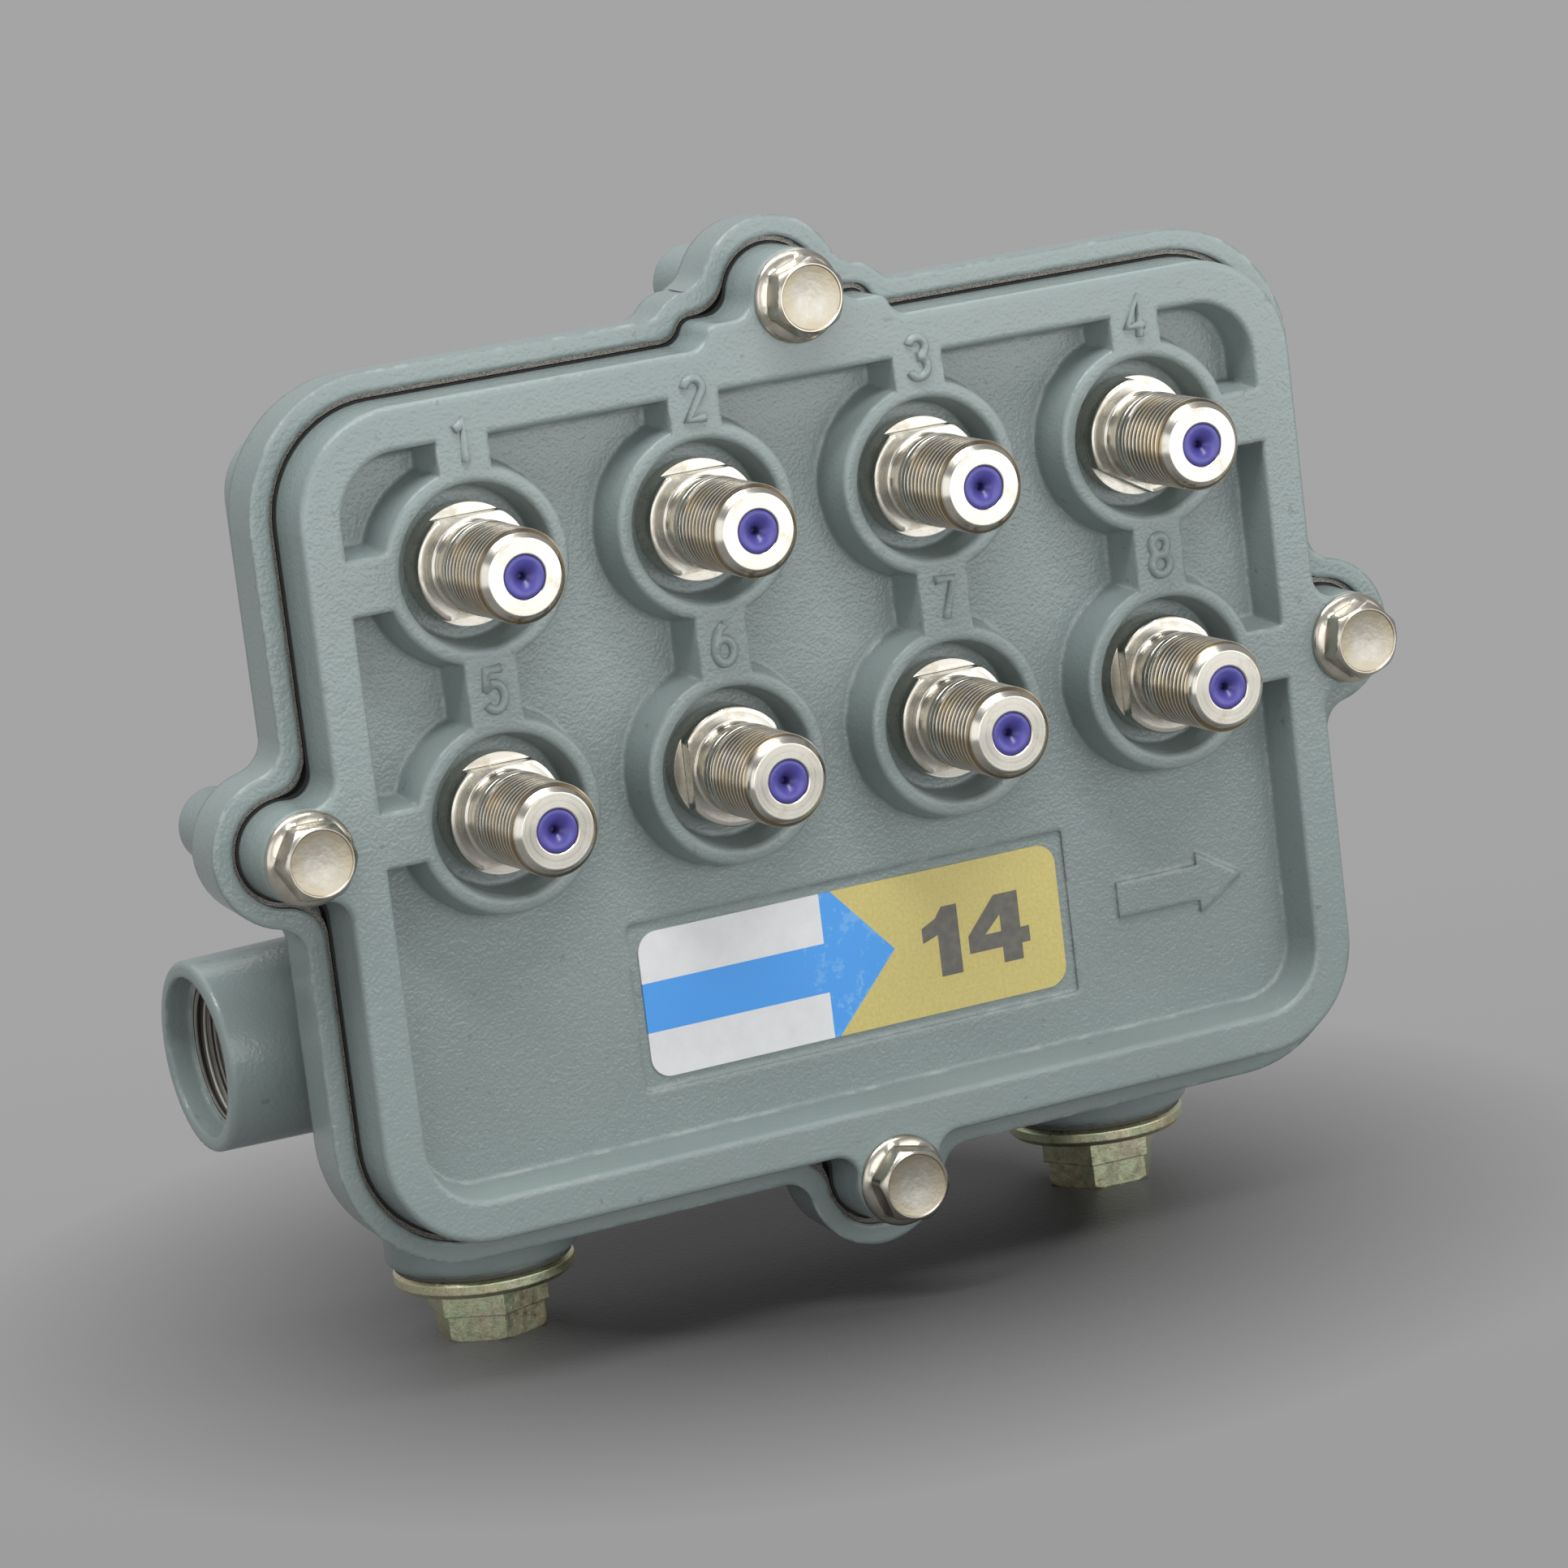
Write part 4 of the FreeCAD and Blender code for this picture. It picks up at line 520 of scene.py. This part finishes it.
def label_material():
    """Printed fields of white, blue and gold, placed in the part's frame."""
    blue, splash = (0.075, 0.33, 0.80), (0.20, 0.46, 0.78)
    gold_dark, gold_light = (0.53, 0.45, 0.15), (0.60, 0.51, 0.185)
    white_dark, white_light = (0.68, 0.695, 0.705), (0.74, 0.75, 0.755)
    edge = 0.00002
    white_right, splash_left = -0.0034, -0.006
    band_foot, band_top = -0.0563, -0.0511
    upper_slope, upper_start = -0.892, -0.04295
    lower_slope, lower_start = 0.936, 0.05449
    shader = Shader("label_print", blue)
    parts = shader.axes()
    across, up = parts[0], parts[2]

    def above(value, level):
        return shader.spread(value, level - edge, level + edge)

    def below(value, level):
        return shader.spread(value, level - edge, level + edge, 1.0, 0.0)

    # The arrow's slanted edges give an x for each height: right of the lesser one is gold
    upper_line = shader.math("ADD", shader.math("MULTIPLY", up, upper_slope), upper_start)
    lower_line = shader.math("ADD", shader.math("MULTIPLY", up, lower_slope), lower_start)
    arrow_edge = shader.math("MINIMUM", upper_line, lower_line)
    gold_field = above(shader.math("SUBTRACT", across, arrow_edge), 0.0)
    band = shader.math("MULTIPLY", above(up, band_foot), below(up, band_top))
    white_field = shader.math("MULTIPLY", below(across, white_right),
                              shader.math("SUBTRACT", 1.0, band))
    fine = shader.noise(2600.0)
    blotch = shader.noise(420.0, 4.0, 0.7)
    splashes = shader.math("MULTIPLY", shader.spread(blotch, 0.53, 0.58, 0.0, 0.55),
                           above(across, splash_left))
    blue_tone = shader.blend(splashes, blue, splash)
    gold_tone = shader.blend(shader.spread(fine, 0.3, 0.7), gold_dark, gold_light)
    white_tone = shader.blend(shader.spread(blotch, 0.3, 0.7), white_dark, white_light)
    tone = shader.blend(gold_field, blue_tone, gold_tone)
    shader.feed("Base Color", shader.blend(white_field, tone, white_tone))
    shader.feed("Roughness", shader.spread(gold_field, 0.0, 1.0, 0.30, 0.42))
    shader.feed("Normal", shader.bump(fine, 0.00002, 0.35))
    return shader.material


def ink_material():
    """Faded black print."""
    dark, faded = (0.12, 0.113, 0.10), (0.155, 0.147, 0.128)
    shader = Shader("ink", dark, Roughness=0.5)
    shader.feed("Base Color", shader.blend(shader.spread(shader.noise(900.0, 3.0), 0.4, 0.7),
                                           dark, faded))
    return shader.material


SLOTS = {"painted_casting": paint_material("painted_casting", False),
         "bare_casting": bare_casting_material(),
         "label_print": label_material(),
         "wire_mesh": mesh_gasket_material(),
         "black_rubber": rubber_material("black_rubber", (0.018, 0.018, 0.017), 0.65),
         "nickel": nickel_material(),
         "violet_plastic": violet_material(),
         "bronze": bronze_material(),
         "ferrite": ferrite_material(),
         "plated_steel": plated_steel_material(),
         "board": board_material(),
         "chromate": chromate_material(),
         "white_plastic": white_plastic_material()}


# CAD nodes keep their mesh and get their slot's material. The cover's paint is sandy, and the
# plugs' seals get a paler rubber, painted light that eases the shade on them.

for subpart in frame["record"]["subparts"]:
    node = frame["nodes"][subpart["node"]]
    node.data.materials.clear()
    node.data.materials.append(SLOTS[subpart["material_slot"]])
frame["nodes"]["cover"].data.materials[0] = paint_material("painted_cover", True)
lightened_seal = rubber_material("lightened_seal", (0.085, 0.082, 0.074), 0.7)
for side in ("left", "right"):
    frame["nodes"][f"port_seal_{side}"].data.materials[0] = lightened_seal


# Lathe work with threads, in millimetres

def revolve(name, rows, segments, coil=None):
    """Join rings of points: each row gives (radius, distance) for an angle about the Y axis.

    coil gives the first and last row of a thread and its rows in a pitch: there a ring
    doesn't close on itself but runs on into the next turn.
    """
    mesh = bpy.data.meshes.new(name)
    builder = bmesh.new()
    rings = []
    for row in rows:
        ring = []
        for step in range(segments):
            angle = 2 * math.pi * step / segments
            radius, distance = row(angle)
            ring.append(builder.verts.new((radius * math.cos(angle) * MM, distance * MM,
                                           radius * math.sin(angle) * MM)))
        rings.append(ring)
    for index, (first, second) in enumerate(zip(rings, rings[1:])):
        first_ahead, second_ahead = first, second
        if coil and coil[0] <= index and index + 1 + coil[2] <= coil[1]:
            first_ahead, second_ahead = rings[index + coil[2]], rings[index + 1 + coil[2]]
        for step in range(segments - 1):
            builder.faces.new((first[step], first[step + 1], second[step + 1], second[step]))
        builder.faces.new((first[-1], first_ahead[0], second_ahead[0], second[-1]))
    bmesh.ops.remove_doubles(builder, verts=builder.verts, dist=MERGE)
    bmesh.ops.dissolve_degenerate(builder, edges=builder.edges, dist=SLIVER)
    bmesh.ops.recalc_face_normals(builder, faces=builder.faces)
    for face in builder.faces:
        face.smooth = True
    builder.to_mesh(mesh)
    builder.free()
    mesh.set_sharp_from_angle(angle=math.radians(SHARP_ANGLE))
    return mesh


def ring_row(radius, distance):
    return lambda angle: (radius, distance)


def flat_row(radius, distance, half_flats):
    """A ring cut by two flats that lie across the Z axis."""
    def row(angle):
        rise = abs(math.sin(angle))
        reach = min(radius, half_flats / rise) if rise > 1e-6 else radius
        return reach, distance
    return row


def hex_row(radius, distance, flats, corner_round=0.12):
    """A ring cut by a hexagon of this width across flats; corners are slightly rounded."""
    def row(angle):
        lean = (angle + math.pi / 6) % (math.pi / 3) - math.pi / 6
        apothem = flats / 2
        corner = apothem / math.cos(math.pi / 6) - corner_round
        reach = min(apothem / math.cos(lean), corner)
        return min(radius, reach), distance
    return row


def crisp_rows(points, soft=0.04):
    """Rings through these (radius, distance) points, with each corner rounded very small."""
    rows = [ring_row(*points[0])]
    for before, corner, after in zip(points, points[1:], points[2:]):
        for other, reaches in ((before, (CORNER_FAR, CORNER_NEAR)),
                               (after, (CORNER_NEAR, CORNER_FAR))):
            run = math.dist(corner, other)
            for reach in reaches:
                share = min(soft * reach, run * CORNER_SHARE * reach) / run
                rows.append(ring_row(corner[0] + (other[0] - corner[0]) * share,
                                     corner[1] + (other[1] - corner[1]) * share))
    rows.append(ring_row(*points[-1]))
    return rows


def thread_rows(start, end, pitch, crest, root, limit=None):
    """Rows of a right-hand V thread; its groove runs out at the ends or into a limiting cone."""
    rows = []
    turns = int(math.ceil((end - start) / pitch)) + 1
    for turn in range(-1, turns):
        for phase, wave in zip(THREAD_PHASES, THREAD_WAVE):

            def row(angle, turn=turn, phase=phase, wave=wave):
                distance = start + (turn + phase + angle / (2 * math.pi)) * pitch
                held = min(max(distance, start), end)
                fade = min(1.0, (end - held) / pitch)
                if limit is None:
                    fade = min(fade, (held - start) / pitch)
                radius = crest - (crest - root) * (1.0 - wave) * fade
                if limit is not None:
                    radius = min(radius, limit(held))
                return radius, held
            rows.append(row)
    return rows


def tip_cone(distance):
    """Radius of the chamfer behind the tip, up to the thread's crest."""
    return min(THREAD_MAJOR, TIP_RADIUS + (distance - TIP) * TIP_SLOPE)


def f_port_mesh():
    """Chamfered tip, thread, undercut neck and flatted base, with the bore behind the tip."""
    before_thread = THREAD_START - ROW_GAP
    rows = crisp_rows(SHELL_PROFILE + [(tip_cone(before_thread), before_thread)])
    first = len(rows)
    rows += thread_rows(THREAD_START, THREAD_END, THREAD_PITCH, THREAD_MAJOR, THREAD_MINOR,
                        tip_cone)
    coil = (first, len(rows) - 1, len(THREAD_PHASES))
    rows += crisp_rows(COLLAR_PROFILE, COLLAR_SOFTNESS)
    rows += [flat_row(*ring) for ring in BASE_RINGS]
    rows += [ring_row(*ring) for ring in BACK_RINGS]
    return revolve("f_port_mesh", rows, PORT_SEGMENTS, coil)


def wire_guide_mesh():
    """Plastic insert behind the tip: rounded face and a funnel to the wire's hole."""
    return revolve("wire_guide_mesh", [ring_row(*ring) for ring in GUIDE_RINGS], GUIDE_SEGMENTS)


def cover_bolt_mesh():
    """Flanged hex bolt: conical flange, hexagon with rounded top edges and a wide shallow dish."""
    rows = crisp_rows(SHANK_PROFILE)
    rows += [hex_row(HEAD_CORNERS, distance, flats) for distance, flats in HEAD_RINGS]
    for step in range(CONE_STEPS + 1):
        share = step / CONE_STEPS
        cone = CONE_TIP_RADIUS + CONE_WIDENING * (1.0 - share) ** CONE_CURVE
        rows.append(hex_row(cone, CONE_START - CONE_LENGTH * share, HEAD_FLATS))
    rows += crisp_rows(DISH_PROFILE, DISH_SOFTNESS)
    return revolve("cover_bolt_mesh", rows, BOLT_SEGMENTS)


def entry_thread_mesh():
    """Tapped wall of a side port, as a thin threaded sleeve inside its bore."""
    rows = [ring_row(ENTRY_MAJOR, ENTRY_TO), ring_row(ENTRY_MAJOR, ENTRY_FROM)]
    first = len(rows)
    grooves = thread_rows(-ENTRY_FROM, -ENTRY_TO, ENTRY_PITCH, ENTRY_MINOR, ENTRY_ROOT)

    def mirrored(row):
        def flipped(angle):
            radius, distance = row(angle)
            return radius, -distance
        return flipped
    rows += [mirrored(row) for row in grooves]
    coil = (first, len(rows) - 1, len(THREAD_PHASES))
    rows += [ring_row(ENTRY_MAJOR, ENTRY_TO)]
    return revolve("entry_thread_mesh", rows, PORT_SEGMENTS, coil)


def place_on_axis(name, mesh, x, z, turn, node):
    """A turned piece at a place of the cover, turned about Y, that stands for a CAD node."""
    piece = link(name, mesh)
    piece.matrix_world = (Matrix.Translation(in_part(x, 0.0, z))
                          @ Matrix.Rotation(math.radians(turn), 4, "Y"))
    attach(piece, "tap")
    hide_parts(node)


port_mesh = f_port_mesh()
port_mesh.materials.append(SLOTS["nickel"])
guide_mesh = wire_guide_mesh()
guide_mesh.materials.append(SLOTS["violet_plastic"])
for number, ((x, z), turn) in enumerate(zip(PORTS, PORT_TURNS), start=1):
    place_on_axis(f"f_port_{number}", port_mesh, x, z, turn, f"f_connector_{number}")
    place_on_axis(f"wire_guide_{number}", guide_mesh, x, z, 0, f"f_insulator_{number}")

bolt_mesh = cover_bolt_mesh()
bolt_mesh.materials.append(bolt_material())
for side, (x, z, turn) in BOLTS.items():
    place_on_axis(f"flange_bolt_{side}", bolt_mesh, x, z, turn, f"cover_bolt_{side}")

thread_mesh = entry_thread_mesh()
thread_mesh.materials.append(thread_metal_material())
for side, sign in (("left", -1), ("right", 1)):
    sleeve = link(f"entry_thread_{side}", thread_mesh)
    sleeve.matrix_world = (Matrix.Translation(in_part(0.0, ENTRY_DEPTH, ENTRY_HEIGHT))
                           @ Matrix.Rotation(-sign * math.pi / 2, 4, "Z"))
    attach(sleeve, "tap")


# Raised numerals of the casting, drawn by their centre lines in millimetres

def arc(across, up, wide, tall, start, end):
    """Points of an ellipse's arc; angles in degrees."""
    count = max(4, int(abs(end - start) / ARC_STEP))
    points = []
    for step in range(count + 1):
        angle = math.radians(start + (end - start) * step / count)
        points.append((across + wide * math.cos(angle), up + tall * math.sin(angle)))
    return points


NUMERALS = {
    "1": [[(0.15, 0.0), (0.15, 4.1), (-0.25, 3.6), (-0.75, 3.3)]],
    "2": [arc(0.0, 3.05, 1.0, 1.05, 170, -30) + [(-1.0, 0.0), (1.05, 0.0)]],
    "3": [arc(0.0, 3.1, 0.95, 1.0, 160, -90), arc(0.0, 1.05, 1.02, 1.05, 90, -160)],
    "4": [[(0.45, 0.0), (0.45, 4.1), (-1.05, 1.2), (1.05, 1.2)]],
    "5": [[(0.9, 4.1), (-0.72, 4.1), (-0.88, 2.25)] + arc(-0.05, 1.35, 1.05, 1.35, 140, -150)],
    "6": [arc(0.0, 1.25, 1.0, 1.25, 0, 360), arc(0.9, 1.4, 1.9, 2.7, 178, 108)],
    "7": [[(-1.0, 4.1), (1.0, 4.1), (-0.1, 0.0)]],
    "8": [arc(0.0, 3.1, 0.86, 1.0, 0, 360), arc(0.0, 1.05, 1.02, 1.05, 0, 360)]}


def numeral(text, x, low):
    """One cast numeral, half sunk in the rim plane: round strokes along its centre lines."""
    curve = bpy.data.curves.new(f"numeral_{text}", "CURVE")
    curve.dimensions = "3D"
    curve.bevel_depth = NUMERAL_STROKE * MM
    curve.bevel_resolution = 4
    curve.use_fill_caps = True
    for stroke in NUMERALS[text]:
        spline = curve.splines.new("POLY")
        closed = math.dist(stroke[0], stroke[-1]) < 0.001
        points = stroke[:-1] if closed else stroke
        spline.points.add(len(points) - 1)
        spline.use_cyclic_u = closed
        spline.use_smooth = True
        for place, (across, up) in zip(spline.points, points):
            place.co = (*in_part(x + across, 0.0, low + up), 1.0)
    curve.materials.append(SLOTS["painted_casting"])
    piece = link(f"numeral_{text}", curve)
    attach(piece, "tap")


for number, x in enumerate(COLUMNS, start=1):
    numeral(str(number), x, UPPER_NUMERALS)
    numeral(str(number + 4), x, LOWER_NUMERALS)


# The value printed on the label

def printed_shape(name, outlines, material):
    """Thin ink shapes just in front of the label: outlines are lists of (x, z) in millimetres."""
    mesh = bpy.data.meshes.new(name)
    builder = bmesh.new()
    depth = (LABEL_FACE - PRINT_RISE) * MM
    for outline in outlines:
        builder.faces.new([builder.verts.new((x * MM, depth, z * MM)) for x, z in outline])
    bmesh.ops.recalc_face_normals(builder, faces=builder.faces)
    builder.to_mesh(mesh)
    builder.free()
    mesh.materials.append(material)
    piece = link(name, mesh)
    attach(piece, "tap")


one = [(9.7, VALUE_FOOT), (12.2, VALUE_FOOT), (12.2, VALUE_TOP), (10.4, VALUE_TOP),
       (9.6, VALUE_TOP - 1.1), (7.9, VALUE_TOP - 1.9), (7.9, VALUE_TOP - 3.5),
       (9.7, VALUE_TOP - 2.9)]
four_left = [(13.2, VALUE_FOOT + 1.7), (17.1, VALUE_FOOT + 1.7), (17.1, VALUE_FOOT + 3.4),
             (15.2, VALUE_FOOT + 3.4), (17.1, VALUE_TOP - 2.2), (17.1, VALUE_TOP),
             (16.6, VALUE_TOP), (13.2, VALUE_FOOT + 3.6)]
four_stem = [(17.1, VALUE_FOOT), (19.4, VALUE_FOOT), (19.4, VALUE_TOP), (17.1, VALUE_TOP)]
four_bar = [(19.4, VALUE_FOOT + 1.7), (20.4, VALUE_FOOT + 1.7), (20.4, VALUE_FOOT + 3.4),
            (19.4, VALUE_FOOT + 3.4)]
printed_shape("value_print", [one, four_left, four_stem, four_bar], ink_material())


# Studio

def area_light(name, direction, distance, wide, tall, power):
    """A soft box that looks at the aim from a direction, at a distance in metres."""
    light = bpy.data.lights.new(name, "AREA")
    light.shape = "RECTANGLE"
    light.size = wide
    light.size_y = tall
    light.energy = power
    lamp = link(name, light)
    way = Vector(direction).normalized()
    lamp.location = Vector(AIM) + way * distance
    lamp.rotation_euler = way.to_track_quat("Z", "Y").to_euler()


def studio_world():
    """Soft grey surround; the camera, metal and glass see the backdrop's own grey."""
    world = bpy.data.worlds.new("Studio")
    bpy.context.scene.world = world
    world.use_nodes = True
    tree = world.node_tree
    background = tree.nodes["Background"]
    background.inputs["Color"].default_value = (*SURROUND_COLOR, 1.0)
    background.inputs["Strength"].default_value = 1.0
    backdrop = tree.nodes.new("ShaderNodeBackground")
    backdrop.inputs["Color"].default_value = (BACKDROP_GREY, BACKDROP_GREY, BACKDROP_BLUE, 1.0)
    rays = tree.nodes.new("ShaderNodeLightPath")
    seen = rays.outputs["Is Camera Ray"]
    for ray in ("Is Glossy Ray", "Is Transmission Ray"):
        most = tree.nodes.new("ShaderNodeMath")
        most.operation = "MAXIMUM"
        tree.links.new(seen, most.inputs[0])
        tree.links.new(rays.outputs[ray], most.inputs[1])
        seen = most.outputs[0]
    mix = tree.nodes.new("ShaderNodeMixShader")
    tree.links.new(seen, mix.inputs[0])
    tree.links.new(background.outputs[0], mix.inputs[1])
    tree.links.new(backdrop.outputs[0], mix.inputs[2])
    tree.links.new(mix.outputs[0], tree.nodes["World Output"].inputs[0])


def studio_floor():
    """Grey disc under the plugs: a dark painted shadow near them that also takes the real one,
    fading to the backdrop's grey.
    """
    mesh = bpy.data.meshes.new("floor")
    angles = [math.radians(step) for step in range(0, 360, FLOOR_STEP)]
    rim = [(FLOOR_RADIUS * math.cos(angle), FLOOR_RADIUS * math.sin(angle), 0.0)
           for angle in angles]
    mesh.from_pydata(rim, [], [tuple(range(len(rim)))])
    floor = link("floor", mesh)
    floor.location = (*FLOOR_CENTRE, FLOOR_HEIGHT)
    shader = Shader("floor_sheet", PAINTED_SHADOW_GREY, Roughness=0.6)
    shader.set("Specular IOR Level", 0.25)
    parts = shader.axes()
    behind = shader.math("ADD", shader.math("MULTIPLY", parts[0], LINE_OF_SIGHT[0]),
                         shader.math("MULTIPLY", parts[1], LINE_OF_SIGHT[1]))
    shade = shader.spread(behind, GREY_FROM, GREY_TO, FRONT_GREY, BACKDROP_GREY)
    glow = shader.add("ShaderNodeEmission")
    color = shader.add("ShaderNodeCombineColor")
    for channel in range(3):
        shader.join(shade, color.inputs[channel])
    shader.join(color.outputs[0], glow.inputs["Color"])
    # Painted shadow: dark within FLOOR_CLEAR of the centre, gone by FLOOR_FADED.
    far = shader.spread(shader.radius_about(2, parts), FLOOR_CLEAR, FLOOR_FADED)
    mix = shader.add("ShaderNodeMixShader")
    shader.join(far, mix.inputs[0])
    shader.join(shader.main.outputs[0], mix.inputs[1])
    shader.join(glow.outputs[0], mix.inputs[2])
    shader.join(mix.outputs[0], shader.tree.nodes["Material Output"].inputs[0])
    shader.feed("Normal", shader.bump(shader.noise(1300.0), 0.0002, 0.6))
    mesh.materials.append(shader.material)


for name, values in SOFT_BOXES.items():
    area_light(name, *values)
studio_world()
studio_floor()

# Camera as the photograph was taken

camera_data = bpy.data.cameras.new("Camera")
camera_data.lens = CAMERA_LENS
camera_data.sensor_width = CAMERA_SENSOR
camera_data.clip_start = 0.01
camera_data.clip_end = 20.0
camera = link("Camera", camera_data)
back = CAMERA_RIGHT.cross(CAMERA_UP).normalized()
turn = Matrix((CAMERA_RIGHT, CAMERA_UP, back)).transposed().to_4x4()
camera.matrix_world = Matrix.Translation(CAMERA_PLACE) @ turn
bpy.context.scene.camera = camera
bpy.context.scene.view_settings.view_transform = "Standard"
